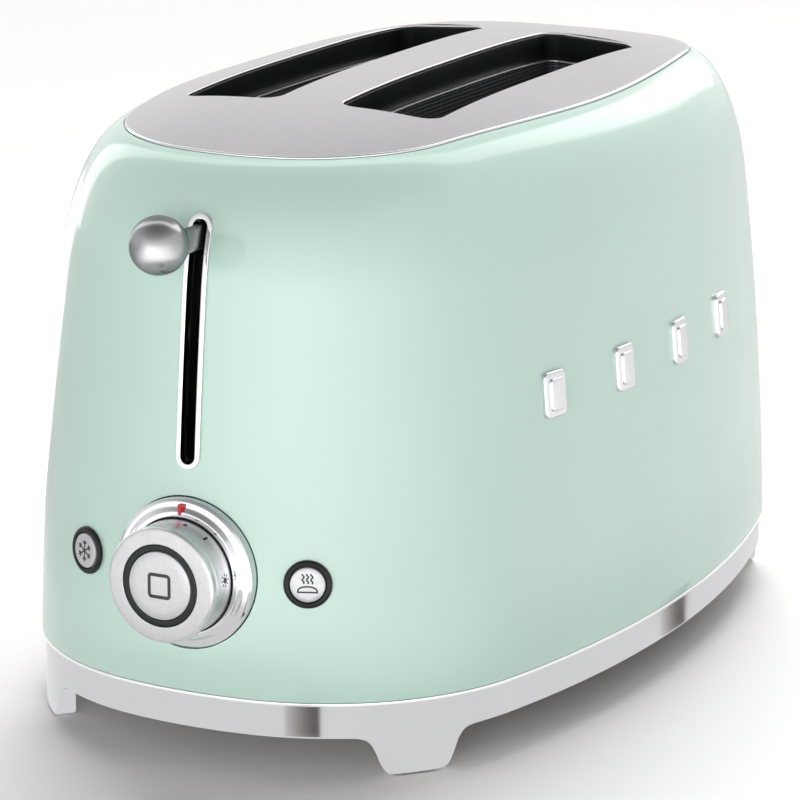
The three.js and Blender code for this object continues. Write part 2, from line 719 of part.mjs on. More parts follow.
// ---- Dial and its push button ------------------------------------------------------------------------

// The dial's group has its +Y axis pointing out of the control end.
const dialGroup = new THREE.Group();
dialGroup.position.set(0, wallY(CONTROL_Z), CONTROL_Z);
dialGroup.rotation.z = Math.PI;
body.add(dialGroup);

function dialPiece(name, section, sides, material) {
  add(name, turnedOnY(section, sides), material, dialGroup);
}

dialPiece('dial_bezel', [
  [BEZEL.bore, BEZEL.back], [BEZEL.radius, BEZEL.back], [BEZEL.radius, BEZEL.edge - 0.8],
  [BEZEL.radius - 0.8, BEZEL.edge], [BEZEL.bore + 1.5, BEZEL.lip], [BEZEL.bore, BEZEL.lip],
], 32, POLISHED_METAL);
dialPiece('dial_knob', [
  [SHAFT.hole, DIAL.back], [DIAL.band, DIAL.back], [DIAL.band, DIAL.step],
  [DIAL.cap, DIAL.step], [DIAL.cap, DIAL.front - 1.2], [DIAL.cap - 1.2, DIAL.front],
  [DIAL.bore, DIAL.front], [DIAL.bore, DIAL.well], [SHAFT.hole, DIAL.well],
], 32, ALUMINIUM);
dialPiece('dial_ring', [
  [DIAL_RING.inner, DIAL_RING.back], [DIAL_RING.outer, DIAL_RING.back],
  [DIAL_RING.outer, DIAL_RING.front], [DIAL_RING.inner, DIAL_RING.front],
], 24, DARK_PLASTIC);
dialPiece('dial_shaft', [
  [0, SHAFT.back], [SHAFT.radius, SHAFT.back], [SHAFT.radius, SHAFT.front], [0, SHAFT.front],
], 12, POLISHED_METAL);
dialPiece('stop_button', [
  [0, STOP.tail], [STOP.stem, STOP.tail], [STOP.stem, STOP.back], [STOP.radius, STOP.back],
  [STOP.radius, STOP.front - 0.4], [STOP.radius - 0.4, STOP.front], [0, STOP.front],
], 24, ALUMINIUM);

// ---- Defrost and reheat buttons -------------------------------------------------------------------------

for (const [name, angle] of Object.entries(BUTTON_ANGLES)) {
  const group = wallGroup(angle, CONTROL_Z);
  const flange = 0.4;
  add(`${name}_ring`, turnedOnY([
    [BUTTON.bore, -BUTTON.depth], [BUTTON.neck, -BUTTON.depth], [BUTTON.neck, flange],
    [BUTTON.ring, flange], [BUTTON.ring, BUTTON.proud], [BUTTON.bore, BUTTON.proud],
  ], 20), DARK_PLASTIC, group);
  add(`${name}_button`, turnedOnY([
    [0, -BUTTON.depth - 1], [BUTTON.cap, -BUTTON.depth - 1], [BUTTON.cap, BUTTON.proud],
    [BUTTON.cap - 0.5, BUTTON.proud + 0.3], [0, BUTTON.proud + 0.3],
  ], 20), ALUMINIUM, group);
  body.add(group);
}

// ---- Raised tablets on the side --------------------------------------------------------------------------

function tablet() {
  const { wide, high, thick, corner } = TABLET;
  const shape = roundedRectangle(-wide / 2, -high / 2, wide / 2, high / 2, corner);
  const options = { depth: thick, bevelEnabled: false, curveSegments: 3 };
  return closed(new THREE.ExtrudeGeometry(shape, options).rotateX(-Math.PI / 2));
}

for (let i = 0; i < 4; i += 1) {
  const y = TABLET.middleY + (i - 1.5) * TABLET.pitch;
  const angle = Math.asin(y / (SIDE_RADIUS - wallInset(TABLET.z)));
  const group = wallGroup(angle, TABLET.z);
  const piece = add(`side_tablet_${i + 1}`, tablet(), POLISHED_METAL, group);
  piece.position.y = GAP;
  body.add(group);
}

// ---- Toasting chamber ----------------------------------------------------------------------------------------

function chamberFrame() {
  const shape = roundedRectangle(-FRAME.half, FRAME.footZ, FRAME.half, FRAME.topZ, 4);
  const half = LIFT.half + 0.8;
  const lowZ = LIFT.z - LEVER_TRAVEL - 3;
  shape.holes = [-1, 1].map((side) => roundedRectangle(
    side * SLOT_X - half, lowZ, side * SLOT_X + half, LIFT.z + LIFT.thick + 3, 2));
  return shape;
}

add('front_frame', sheetAcrossY(chamberFrame(), -FRAME.y - FRAME.sheet, FRAME.sheet, 3),
  PLATED_SHEET);
add('rear_frame', sheetAcrossY(chamberFrame(), FRAME.y, FRAME.sheet, 3), PLATED_SHEET);

// A flat path (y, z) of square corners, widened into a ribbon.
function ribbonShape(path, half) {
  const normals = path.slice(1).map((p, i) => {
    const along = p.clone().sub(path[i]).normalize();
    return new THREE.Vector2(-along.y, along.x);
  });
  const offsets = path.map((_, i) => {
    const corner = new THREE.Vector2();
    if (i > 0) corner.add(normals[i - 1]);
    if (i < normals.length) corner.add(normals[i]);
    return corner.multiplyScalar(half);
  });
  const left = path.map((p, i) => p.clone().add(offsets[i]));
  const right = path.map((p, i) => p.clone().sub(offsets[i]));
  return new THREE.Shape([...left, ...right.reverse()]);
}

function heatingRibbon() {
  const pitch = (2 * RIBBON.halfLength) / (RIBBON.runs - 1);
  const path = [];
  for (let i = 0; i < RIBBON.runs; i += 1) {
    const ends = [RIBBON.footZ, RIBBON.topZ];
    if (i % 2) ends.reverse();
    ends.forEach((z) => path.push(new THREE.Vector2(-RIBBON.halfLength + i * pitch, z)));
  }
  return ribbonShape(path, RIBBON.half);
}

function boardShape() {
  return roundedRectangle(-BOARD.halfLength, BOARD.footZ, BOARD.halfLength, BOARD.topZ, 2);
}

function breadGuide(x) {
  const { wire, halfLength, footZ, topZ, wires } = GUIDE;
  const rail = (z) => {
    const geometry = new THREE.CylinderGeometry(wire, wire, 2 * halfLength + 4, 6);
    return closed(geometry.translate(x, 0, z));
  };
  const pitch = (2 * halfLength) / (wires - 1);
  const uprights = Array.from({ length: wires },
    (_, i) => pin(wire, footZ, topZ, x, -halfLength + i * pitch, 6));
  return join([rail(footZ), rail(topZ), ...uprights]);
}

// One board, ribbon and guide for each face of each slice, named from left to right.
const HEATED_FACES = [
  { name: 'left_outer', side: -1, boardX: BOARD.outerX, towardsBread: -1 },
  { name: 'left_inner', side: -1, boardX: BOARD.innerX, towardsBread: 1 },
  { name: 'right_inner', side: 1, boardX: BOARD.innerX, towardsBread: 1 },
  { name: 'right_outer', side: 1, boardX: BOARD.outerX, towardsBread: -1 },
];

for (const { name, side, boardX, towardsBread } of HEATED_FACES) {
  const x = side * boardX;
  const inward = side * towardsBread;
  add(`heater_board_${name}`, sheetAcrossX(boardShape(), x - BOARD.thick / 2, BOARD.thick), MICA);
  const ribbonX = x + inward * (BOARD.thick / 2 + RIBBON.off) - RIBBON.thick / 2;
  add(`heating_ribbon_${name}`, sheetAcrossX(heatingRibbon(), ribbonX, RIBBON.thick), HEATER_WIRE);
  add(`bread_guide_${name}`, breadGuide(side * SLOT_X - inward * GUIDE.off), PLATED_SHEET);
}

for (const [name, x] of [['left', -FRAME.half + 1], ['right', FRAME.half - 1]]) {
  const reach = FRAME.y - GAP;
  add(`heat_shield_${name}`,
    box(x - 0.4, x + 0.4, -reach, reach, FRAME.footZ, FRAME.topZ), PLATED_SHEET);
}

// ---- Whole object, centred on its box ---------------------------------------------------------------------------

const frontY = BALL.y - BALL.radius;
body.position.y = -(frontY + HALF_LENGTH) / 2;

const toaster = new THREE.Group();
toaster.add(body);

export default toaster;
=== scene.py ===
"""A two-slice pop-up toaster in glossy mint enamel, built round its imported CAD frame."""

import math

import bpy
import numpy as np
from mathutils import Matrix, Vector


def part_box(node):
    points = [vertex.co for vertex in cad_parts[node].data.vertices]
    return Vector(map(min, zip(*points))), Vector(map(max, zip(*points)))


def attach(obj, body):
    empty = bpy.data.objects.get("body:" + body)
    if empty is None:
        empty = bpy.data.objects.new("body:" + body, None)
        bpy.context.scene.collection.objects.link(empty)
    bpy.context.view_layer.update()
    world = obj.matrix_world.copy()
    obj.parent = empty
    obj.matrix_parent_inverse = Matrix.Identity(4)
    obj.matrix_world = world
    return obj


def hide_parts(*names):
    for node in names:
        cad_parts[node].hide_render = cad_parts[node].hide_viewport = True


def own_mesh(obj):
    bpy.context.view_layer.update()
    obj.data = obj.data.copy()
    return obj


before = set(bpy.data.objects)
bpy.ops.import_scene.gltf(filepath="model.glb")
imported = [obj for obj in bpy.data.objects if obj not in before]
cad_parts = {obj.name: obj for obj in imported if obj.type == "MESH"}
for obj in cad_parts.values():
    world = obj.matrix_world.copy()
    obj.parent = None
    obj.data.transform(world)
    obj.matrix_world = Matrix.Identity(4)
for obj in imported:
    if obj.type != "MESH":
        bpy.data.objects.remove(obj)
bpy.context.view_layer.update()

# ---- Driving dimensions, in millimetres
# Points are (x, y, z) from the middle of the body, on the standing surface.

MM = 0.001
GAP = 0.3
shell_low, shell_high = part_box("body_shell")
MIDDLE_Y = (shell_low.y + shell_high.y) / 2
HALF_WIDTH = (shell_high.x - shell_low.x) / 2 / MM
HALF_LENGTH = (shell_high.y - shell_low.y) / 2 / MM
SHELL_FOOT_Z = shell_low.z / MM
CROWN_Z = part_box("top_plate")[1].z / MM
SIDE_RADIUS, CORNER_RADIUS, END_RADIUS = 418.0, 77.0, 140.0
CROWN_FALL_X, CROWN_FALL_Y, CROWN_POWER = 7.6, 9.9, 3
WALL_LEAN, WALL_CURVE = 0.03, 0.00035
SHOULDER_Z, SHOULDER_RISE, SHOULDER_RUN, SHOULDER_DROP = 150.0, 20, 10, 3
RIM_SIDE, RIM_END, RIM_DROP = 29.5, 28.4, 0.6
SHELL_SHEET, PLATE_SHEET = 1.2, 1.2

SLOT_X, SLOT_Y, SLOT_WIDTH, SLOT_LENGTH, SLOT_CORNER = 28.4, -3.0, 34.6, 156.0, 6.0

BAND_INSET, BAND_SHEET, BAND_FOOT_Z = 1.2, 2.3, 13.0
FOOT_ANGLE, FOOT_HALF_WIDTH, FOOT_FLARE = math.radians(41), 13.4, 10
FOOT_TIP_Z, FOOT_TAPER = 0.5, -0.2

CONTROL_Z = 63.0
BUTTON_TURN = math.radians(22.8)

# ---- Plan outline and wall profile


def circle_crossing(a, radius_a, b, radius_b):
    """The crossing of two circles that lies to the left of the line from a to b."""
    span = b - a
    distance = np.hypot(*span)
    along = (radius_a**2 - radius_b**2 + distance**2) / (2 * distance)
    across = math.sqrt(radius_a**2 - along**2)
    unit = span / distance
    return a + unit * along + np.array([-unit[1], unit[0]]) * across


SIDE_CENTRE = np.array([HALF_WIDTH - SIDE_RADIUS, 0.0])
END_CENTRE = np.array([0.0, HALF_LENGTH - END_RADIUS])
CORNER_CENTRE = circle_crossing(
    SIDE_CENTRE, SIDE_RADIUS - CORNER_RADIUS, END_CENTRE, END_RADIUS - CORNER_RADIUS)
SIDE_SPAN = math.atan2(*(CORNER_CENTRE - SIDE_CENTRE)[::-1])
END_START = math.atan2(*(CORNER_CENTRE - END_CENTRE)[::-1])


def outline_point(angle, inset):
    """The outline point whose outward normal is at angle, moved inwards by inset."""
    normal = np.array([math.cos(angle), math.sin(angle)])
    folded = math.atan2(*abs(normal)[::-1])
    centre, radius = CORNER_CENTRE, CORNER_RADIUS
    if folded < SIDE_SPAN:
        centre, radius = SIDE_CENTRE, SIDE_RADIUS
    elif folded > END_START:
        centre, radius = END_CENTRE, END_RADIUS
    return centre * np.copysign(1, normal) + normal * (radius - inset)


def whole_turn(quarter):
    """Mirrors the angles of one quarter, 0 to 90 degrees inclusive, into a whole turn."""
    back = quarter[::-1]
    return np.concatenate([
        quarter, math.pi - back[1:], math.pi + quarter[1:], 2 * math.pi - back[1:-1]])


QUARTER = np.concatenate([
    np.linspace(0, SIDE_SPAN, 30, endpoint=False),
    np.linspace(SIDE_SPAN, END_START, 44, endpoint=False),
    np.linspace(END_START, math.pi / 2, 9)])
FINE = whole_turn(QUARTER)


def wall_inset(z):
    rise = z - SHELL_FOOT_Z
    return WALL_LEAN * rise + WALL_CURVE * rise**2


def wall_slope(z):
    return WALL_LEAN + 2 * WALL_CURVE * (z - SHELL_FOOT_Z)


def rim_inset(angle):
    return RIM_SIDE + (RIM_END - RIM_SIDE) * math.sin(angle) ** 2


def crown_height(x, y):
    across = abs(x) / (HALF_WIDTH - RIM_SIDE)
    along = abs(y) / (HALF_LENGTH - RIM_END)
    return CROWN_Z - CROWN_FALL_X * across**CROWN_POWER - CROWN_FALL_Y * along**CROWN_POWER


def crown_at(angle, inset):
    return crown_height(*outline_point(angle, inset))


def shoulder(angle, t):
    """(inset, height) of the roll from wall to rim, and its direction, at t from 0 to 1."""
    inset = rim_inset(angle)
    rim_z = crown_at(angle, inset) - RIM_DROP
    p0 = np.array([wall_inset(SHOULDER_Z), SHOULDER_Z])
    p1 = p0 + SHOULDER_RISE * np.array([wall_slope(SHOULDER_Z), 1])
    p2 = np.array([inset - SHOULDER_RUN, rim_z - SHOULDER_DROP])
    p3 = np.array([inset, rim_z])
    point = (1 - t)**3 * p0 + 3*(1 - t)**2*t * p1 + 3*(1 - t)*t**2 * p2 + t**3 * p3
    along = (1 - t)**2 * (p1 - p0) + 2*(1 - t)*t * (p2 - p1) + t**2 * (p3 - p2)
    return point, along / np.hypot(*along)


def wall_y(z):
    """The control end's wall at x = 0, up to the shoulder's end."""
    if z <= SHOULDER_Z:
        return -HALF_LENGTH + wall_inset(z)
    curve = np.array([shoulder(-math.pi / 2, t)[0] for t in np.linspace(0, 1, 60)])
    return -HALF_LENGTH + float(np.interp(z, curve[:, 1], curve[:, 0]))


# ---- Mesh helpers


def in_row_frame(points):
    """Turns millimetres from the middle of the body into the frame's metres."""
    return (np.reshape(points, (-1, 3)) * MM + (0, MIDDLE_Y, 0)).tolist()


def box_mm(node):
    """The low and high corner of a CAD node's box, in millimetres from the middle."""
    return [(np.array(corner) - (0, MIDDLE_Y, 0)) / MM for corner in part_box(node)]


def unit_rows(vectors):
    return vectors / np.linalg.norm(vectors, axis=1)[:, None]


def add_object(name, data):
    obj = bpy.data.objects.new(name, data)
    bpy.context.scene.collection.objects.link(obj)
    return obj


def smooth(obj, sharp=35):
    """Shades obj smooth up to the sharp angle in degrees."""
    obj.data.shade_smooth()
    if sharp < 180:
        obj.data.set_sharp_from_angle(angle=math.radians(sharp))


def new_mesh(name, points, faces, material, sharp=35):
    mesh = bpy.data.meshes.new(name)
    mesh.from_pydata(points, [], faces)
    mesh.update()
    if material:
        mesh.materials.append(material)
    obj = add_object(name, mesh)
    smooth(obj, sharp)
    return obj


def solid(name, points, faces, material, sharp=35):
    """A closed mesh from millimetres, its faces turned outwards by its signed volume."""
    obj = new_mesh(name, in_row_frame(points), faces, material, sharp)
    mesh = obj.data
    mesh.calc_loop_triangles()
    co = np.array([v.co for v in mesh.vertices])
    a, b, c = co[np.array([t.vertices[:] for t in mesh.loop_triangles]).T]
    if np.einsum("ij,ij->i", a, np.cross(b, c)).sum() < 0:
        mesh.flip_normals()
    return obj


def grid_faces(rows, columns, close_rows, close_columns):
    faces = []
    for i in range(rows if close_rows else rows - 1):
        for j in range(columns if close_columns else columns - 1):
            k, m = (i + 1) % rows, (j + 1) % columns
            faces.append((i * columns + j, k * columns + j, k * columns + m, i * columns + m))
    return faces


def ring(name, rows, material, sharp=35):
    """A closed ring of closed sections: rows is an array of around by across by 3."""
    around, across = np.shape(rows)[:2]
    return solid(name, rows, grid_faces(around, across, True, True), material, sharp)


def stack(name, rings, material, sharp=35):
    """A solid of stacked loops with capped ends: rings is an array of levels by around by 3."""
    levels, around = np.shape(rings)[:2]
    faces = grid_faces(levels, around, False, True)
    last = (levels - 1) * around
    faces += [tuple(range(around)), tuple(range(last, last + around))[::-1]]
    return solid(name, rings, faces, material, sharp)


def slab(name, loop, low, high):
    """A cutter: the loop's outline from one height to another."""
    return stack(name, [[(x, y, z) for x, y in loop] for z in (low, high)], None)


def rounded(points, radius, parts=4):
    """A closed 2-D loop with its corners turned into arcs. A corner may be (x, y, radius)."""
    loop = []
    corners = np.array([corner[:2] for corner in points], float)
    for i, p in enumerate(corners):
        r = points[i][2] if len(points[i]) > 2 else radius
        before, after = corners[i - 1] - p, corners[(i + 1) % len(points)] - p
        lengths = np.hypot(*before), np.hypot(*after)
        u, v = before / lengths[0], after / lengths[1]
        half = math.acos(np.clip(np.dot(u, v), -1, 1)) / 2
        reach = min(r / math.tan(half), 0.49 * min(lengths))
        for t in np.linspace(0, 1, parts + 1):
            loop.append(p + u * reach * (1 - t)**2 + v * reach * t**2)
    return np.array(loop)


def rectangle(x0, y0, x1, y1):
    return [(x0, y0), (x0, y1), (x1, y1), (x1, y0)]


def circle(sides):
    """The points of a circle of radius 1."""
    angles = np.linspace(0, 2 * math.pi, sides, endpoint=False)
    return np.column_stack([np.cos(angles), np.sin(angles)])


def section_rows(angles, section_at):
    """Points round the body from a section of (inset, height) at each angle."""
    return [[[*outline_point(angle, inset), z] for inset, z in section_at(angle)]
            for angle in angles]


def outline_ring(name, angles, section_at, material, sharp=35):
    return ring(name, section_rows(angles, section_at), material, sharp)


class Place:
    """A spot on the wall: local u runs to the right and v up as one looks at it, w points out."""

    def __init__(self, origin, u, v):
        self.origin, self.axes = origin, np.array([u, v, np.cross(u, v)])

    def at(self, points):
        return self.origin + np.reshape(points, (-1, 3)) @ self.axes


def wall_place(angle, z):
    x, y = outline_point(angle, wall_inset(z))
    u = (-math.sin(angle), math.cos(angle), 0)
    w = np.array([math.cos(angle), math.sin(angle), wall_slope(z)])
    return Place((x, y, z), u, np.cross(w / np.linalg.norm(w), u))


DIAL_PLACE = Place((0, wall_y(CONTROL_Z), CONTROL_Z), (1, 0, 0), (0, 0, 1))
DEFROST_PLACE = wall_place(-math.pi / 2 - BUTTON_TURN, CONTROL_Z)
REHEAT_PLACE = wall_place(-math.pi / 2 + BUTTON_TURN, CONTROL_Z)


def turned(name, place, section, material, sides=96, sharp=35):
    """A ring turned about the place's outward axis from a closed loop of (radius, out)."""
    rows = [place.at([(r * x, r * y, out) for r, out in section]) for x, y in circle(sides)]
    return ring(name, rows, material, sharp)


def turned_solid(name, place, profile, material, sides=96, sharp=35):
    """A solid turned about the outward axis: profile runs from back to front, radii above 0."""
    rings = [place.at([(r * x, r * y, out) for x, y in circle(sides)]) for r, out in profile]
    return stack(name, rings, material, sharp)


def prism(name, place, loop, out0, out1, material, bevel=0.0, sharp=35):
    """A flat shape (u, v) at a place, from out0 to out1, its front edge rounded by bevel."""
    loop = np.asarray(loop, float)
    inward = unit_rows(loop.mean(0) - loop)
    levels = [(out0, 0.0)]
    for t in np.linspace(0, math.pi / 2, 5) if bevel else [0]:
        levels.append((out1 - bevel * (1 - math.sin(t)), bevel * (1 - math.cos(t))))
    rings = [place.at([(*p, out) for p in loop + inward * shrink]) for out, shrink in levels]
    return stack(name, rings, material, sharp)


def joined(name, parts):
    """Joins mesh objects of one material into a new one, and deletes them."""
    points, faces = [], []
    for part in parts:
        mesh, material = part.data, part.data.materials[0]
        faces += [[len(points) + i for i in face.vertices] for face in mesh.polygons]
        points += [tuple(v.co) for v in mesh.vertices]
        bpy.data.objects.remove(part)
        bpy.data.meshes.remove(mesh)
    return new_mesh(name, points, faces, material)


def cut(obj, cutters, sharp=35, operation="DIFFERENCE"):
    """Applies a boolean with each cutter to obj for good, and deletes the cutters."""
    for cutter in cutters:
        modifier = obj.modifiers.new("cut", "BOOLEAN")
        modifier.operation, modifier.solver, modifier.object = operation, "EXACT", cutter
    depsgraph = bpy.context.evaluated_depsgraph_get()
    mesh = bpy.data.meshes.new_from_object(obj.evaluated_get(depsgraph))
    obj.modifiers.clear()
    obj.data = mesh
    smooth(obj, sharp)
    for cutter in cutters:
        bpy.data.objects.remove(cutter)


def tube(name, path, radius, material, sides=12):
    """A round wire along a list of points, with closed ends."""
    along = unit_rows(np.gradient(path, axis=0))
    side = np.cross(along[0], (0.3, 0.5, 0.8))
    rings = []
    for p, t in zip(path, along):
        side = side - t * np.dot(side, t)
        side /= np.linalg.norm(side)
        rings.append(p + radius * circle(sides) @ [side, np.cross(t, side)])
    return stack(name, rings, material)


INK_THICKNESS = 0.06


def stroke(name, place, points, width, out):
    """A painted black line on a flat face, following points (u, v)."""
    along = unit_rows(np.gradient(points, axis=0))
    across = np.column_stack([-along[:, 1], along[:, 0]]) * width / 2
    top = out + INK_THICKNESS
    rings = [place.at([(*(p + a), out), (*(p - a), out), (*(p - a), top), (*(p + a), top)])
             for p, a in zip(points, across)]
    return stack(name, rings, BLACK_INK, 20)


def settle(obj, body, slot, *replaced):
    """Rides obj on its body and hides the CAD nodes that it stands for; slot is not used."""
    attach(obj, body)
    if replaced:
        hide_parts(*replaced)
    return obj


# ---- Materials

NOISE_LOW, NOISE_HIGH = 0.3, 0.7  # nearly all of a noise's values lie between these


def add_node(tree, kind, inputs=(), **settings):
    """A new node; inputs pairs its sockets with values or with the outputs that feed them."""
    node = tree.nodes.new(kind)
    for key, value in settings.items():
        setattr(node, key, value)
    for socket, value in dict(inputs).items():
        if isinstance(value, bpy.types.NodeSocket):
            tree.links.new(value, node.inputs[socket])
        else:
            node.inputs[socket].default_value = value
    return node


class Finish:
    """A node material on one Principled shader, with helpers for its texture nodes."""

    def __init__(self, name, color, roughness, metallic=0.0, **sockets):
        self.material = bpy.data.materials.new(name)
        self.material.use_nodes = True
        self.tree = self.material.node_tree
        self.shader = self.tree.nodes["Principled BSDF"]
        self.color, self.roughness = color, roughness
        sockets.update(Base_Color=(*color, 1), Roughness=roughness, Metallic=metallic)
        for socket, value in sockets.items():
            self.shader.inputs[socket.replace("_", " ")].default_value = value
        self.coordinates = self.add("ShaderNodeTexCoord").outputs["Object"]

    def add(self, kind, inputs=(), **settings):
        return add_node(self.tree, kind, inputs, **settings)

    def feed(self, socket, output):
        self.tree.links.new(output, self.shader.inputs[socket])

    def noise(self, scale, detail, stretch=(1, 1, 1), roughness=0.5):
        mapping = self.add("ShaderNodeMapping", {"Vector": self.coordinates, "Scale": stretch})
        return self.add("ShaderNodeTexNoise", {
            "Vector": mapping.outputs["Vector"], "Scale": scale, "Detail": detail,
            "Roughness": roughness}).outputs["Fac"]

    def wave(self, axis, scale):
        return self.add("ShaderNodeTexWave", {"Vector": self.coordinates, "Scale": scale},
                        bands_direction=axis).outputs["Fac"]

    def vary_roughness(self, value, amount):
        node = self.add("ShaderNodeMapRange", {
            "Value": value, "From Min": NOISE_LOW, "From Max": NOISE_HIGH,
            "To Min": self.roughness - amount, "To Max": self.roughness + amount})
        self.feed("Roughness", node.outputs["Result"])

    def vary_color(self, value, amount):
        """Lightens and darkens the colour by a share of itself."""
        ramp = self.add("ShaderNodeValToRGB", {"Fac": value})
        for stop, position, share in zip(ramp.color_ramp.elements, (NOISE_LOW, NOISE_HIGH),
                                         (1 - amount, 1 + amount)):
            stop.position = position
            stop.color = (*[min(1, c * share) for c in self.color], 1)
        self.feed("Base Color", ramp.outputs["Color"])

    def bump(self, value, distance):
        node = self.add("ShaderNodeBump", {
            "Height": value, "Distance": distance * MM, "Strength": 1.0})
        self.feed("Normal", node.outputs["Normal"])


def surface(name, color, roughness, metallic=0.0, tint=None, gloss=None, relief=None, **sockets):
    """A material whose tint, gloss and relief (in millimetres) are each an amount, then the
    scale, detail, stretch and roughness of the noise that it follows."""
    finish = Finish(name, color, roughness, metallic, **sockets)
    for vary, setting in ((finish.vary_color, tint), (finish.vary_roughness, gloss),
                          (finish.bump, relief)):
        if setting:
            vary(finish.noise(*setting[1:]), setting[0])
    return finish.material


def polished_metal(name, color, roughness, edge=1.0):
    """Plated metal; an edge below 1 darkens it where it turns away from the eye."""
    return surface(name, color, roughness, 1.0, (0.02, 35, 2), (0.02, 90, 5), (0.002, 140, 2),
                   Specular_Tint=(edge, edge, edge, 1))


def woven_sheet():
    """Dark sheet pressed with a fine woven pattern."""
    finish = Finish("throat_sheet", (0.045, 0.047, 0.05), 0.5, 0.4)
    both = finish.add("ShaderNodeMath", {0: finish.wave("Y", 240), 1: finish.wave("Z", 240)},
                      operation="ADD")
    weave = finish.add("ShaderNodeMath", {0: both.outputs[0], 1: 0.5},
                       operation="MULTIPLY").outputs[0]
    finish.vary_color(weave, 0.5)
    finish.bump(weave, 0.15)
    return finish.material


def copper_winding():
    finish = Finish("copper_winding", (0.55, 0.22, 0.09), 0.3, 1.0)
    turns = finish.wave("Z", 500)
    finish.vary_color(turns, 0.35)
    finish.bump(turns, 0.08)
    return finish.material


BRUSH_LINES = (260, 5, (18, 0.35, 6), 0.6)
LATHE_COLOR_LINES, LATHE_RELIEF_LINES = (500, 3, (0.4, 8, 0.4)), (700, 2, (0.3, 8, 0.3))

ENAMEL = surface("mint_enamel", (0.515, 0.716, 0.638), 0.34, 0.0,
                 (0.012, 18, 2), (0.025, 60, 4), (0.0015, 420, 1), Specular_IOR_Level=0.3,
                 Coat_Weight=1.0, Coat_Roughness=0.045, Coat_IOR=1.5)
BRUSHED = surface("brushed_steel", (0.625, 0.612, 0.622), 0.34, 1.0, (0.05, *BRUSH_LINES),
                  (0.06, 420, 3, (10, 0.3, 4)), (0.012, *BRUSH_LINES))
POLISHED = polished_metal("polished_metal", (0.66, 0.66, 0.675), 0.09)
BAND_METAL = polished_metal("band_metal", (0.7, 0.7, 0.715), 0.12)
BALL_METAL = polished_metal("ball_metal", (0.34, 0.343, 0.35), 0.24, 0.5)
BEAD_METAL = polished_metal("bead_metal", (0.92, 0.92, 0.92), 0.3)
ALUMINIUM = surface("satin_aluminium", (0.5, 0.5, 0.512), 0.4, 0.5,
                    (0.05, 900, 4), (0.04, 500, 3), (0.003, 1500, 2))
TURNED_METAL = surface("turned_metal", (0.66, 0.66, 0.675), 0.3, 1.0,
                       (0.05, *LATHE_COLOR_LINES), (0.02, 300, 3), (0.003, *LATHE_RELIEF_LINES))
COATING = surface("dark_coating", (0.005, 0.006, 0.006), 0.4, 0.0,
                  None, (0.05, 200, 4), (0.006, 1400, 3), Specular_IOR_Level=0.15)
THROAT = woven_sheet()
DARK_PLASTIC = surface("dark_plastic", (0.008, 0.0095, 0.0095), 0.34, 0.0,
                       None, (0.05, 300, 3), (0.004, 1600, 2), Specular_IOR_Level=0.25)
PALE_PLASTIC = surface("pale_plastic", (0.62, 0.61, 0.57), 0.4, 0.0,
                       (0.03, 300, 3), None, (0.005, 900, 2))
PLATED = surface("plated_sheet", (0.42, 0.42, 0.41), 0.38, 1.0,
                 (0.12, 120, 6), (0.08, 80, 5), (0.01, 400, 4))
MICA = surface("mica", (0.42, 0.34, 0.23), 0.45, 0.0,
               (0.35, 150, 6, (1, 1, 1), 0.7), None, (0.02, 200, 5))
WIRE = surface("heater_wire", (0.22, 0.19, 0.17), 0.45, 1.0,
               (0.3, 200, 4), None, (0.01, 800, 3))
RUBBER = surface("rubber", (0.03, 0.03, 0.032), 0.75, 0.0,
                 (0.2, 300, 4), None, (0.02, 1200, 3))
BOARD = surface("circuit_board", (0.025, 0.16, 0.07), 0.35, 0.0,
                (0.4, 140, 5), None, (0.02, 300, 2))
COPPER = copper_winding()
BLACK_INK = surface("black_ink", (0.012, 0.012, 0.012), 0.45, 0.0, (0.12, 900, 3))
RED_INK = surface("red_ink", (0.6, 0.015, 0.02), 0.45, 0.0, (0.12, 900, 3))

# ---- Camera, light and floor

CAMERA_AT = (600.475, -1183.977, 427.302)
CAMERA_AZIMUTH, CAMERA_ELEVATION, CAMERA_ROLL = 27.1947, 14.6178, math.radians(0.0913)
LENS, SENSOR = 180.524, 36


def toward(azimuth, elevation):
    """The unit vector at an azimuth from +X and an elevation, in degrees."""
    turn, lift = np.radians(azimuth), np.radians(elevation)
    return np.array([np.cos(turn) * np.cos(lift), np.sin(turn) * np.cos(lift), np.sin(lift)])


def turn_to(obj, rotation):
    obj.rotation_mode = "QUATERNION"
    obj.rotation_quaternion = rotation


def make_camera():
    data = bpy.data.cameras.new("camera")
    data.lens, data.sensor_width = LENS, SENSOR
    camera = add_object("camera", data)
    back = Vector(toward(CAMERA_AZIMUTH - 90, CAMERA_ELEVATION))
    right = Vector((0, 0, 1)).cross(back).normalized()
    across = right * math.cos(CAMERA_ROLL) + back.cross(right) * math.sin(CAMERA_ROLL)
    camera.location = in_row_frame(CAMERA_AT)[0]
    turn_to(camera, Matrix((across, back.cross(across), back)).transposed().to_quaternion())
    bpy.context.scene.camera = camera


def add_light(name, kind, power, rotation, **settings):
    """A light that no surface mirrors: the cards below make the reflections."""
    data = bpy.data.lights.new(name, kind)
    data.energy = power
    for key, value in settings.items():
        setattr(data, key, value)
    light = add_object(name, data)
    light.visible_glossy = False
    turn_to(light, rotation)
    return light


def sun_light(name, azimuth, elevation, spread, power):
    rotation = Vector(toward(azimuth, elevation)).to_track_quat("Z", "Y")
    add_light(name, "SUN", power, rotation, angle=math.radians(spread))


def area_light(name, location, target, size, power):
    rotation = (Vector(target) - Vector(location)).to_track_quat("-Z", "Y")
    light = add_light(name, "AREA", power, rotation, shape="RECTANGLE", size=size, size_y=size)
    light.location = location


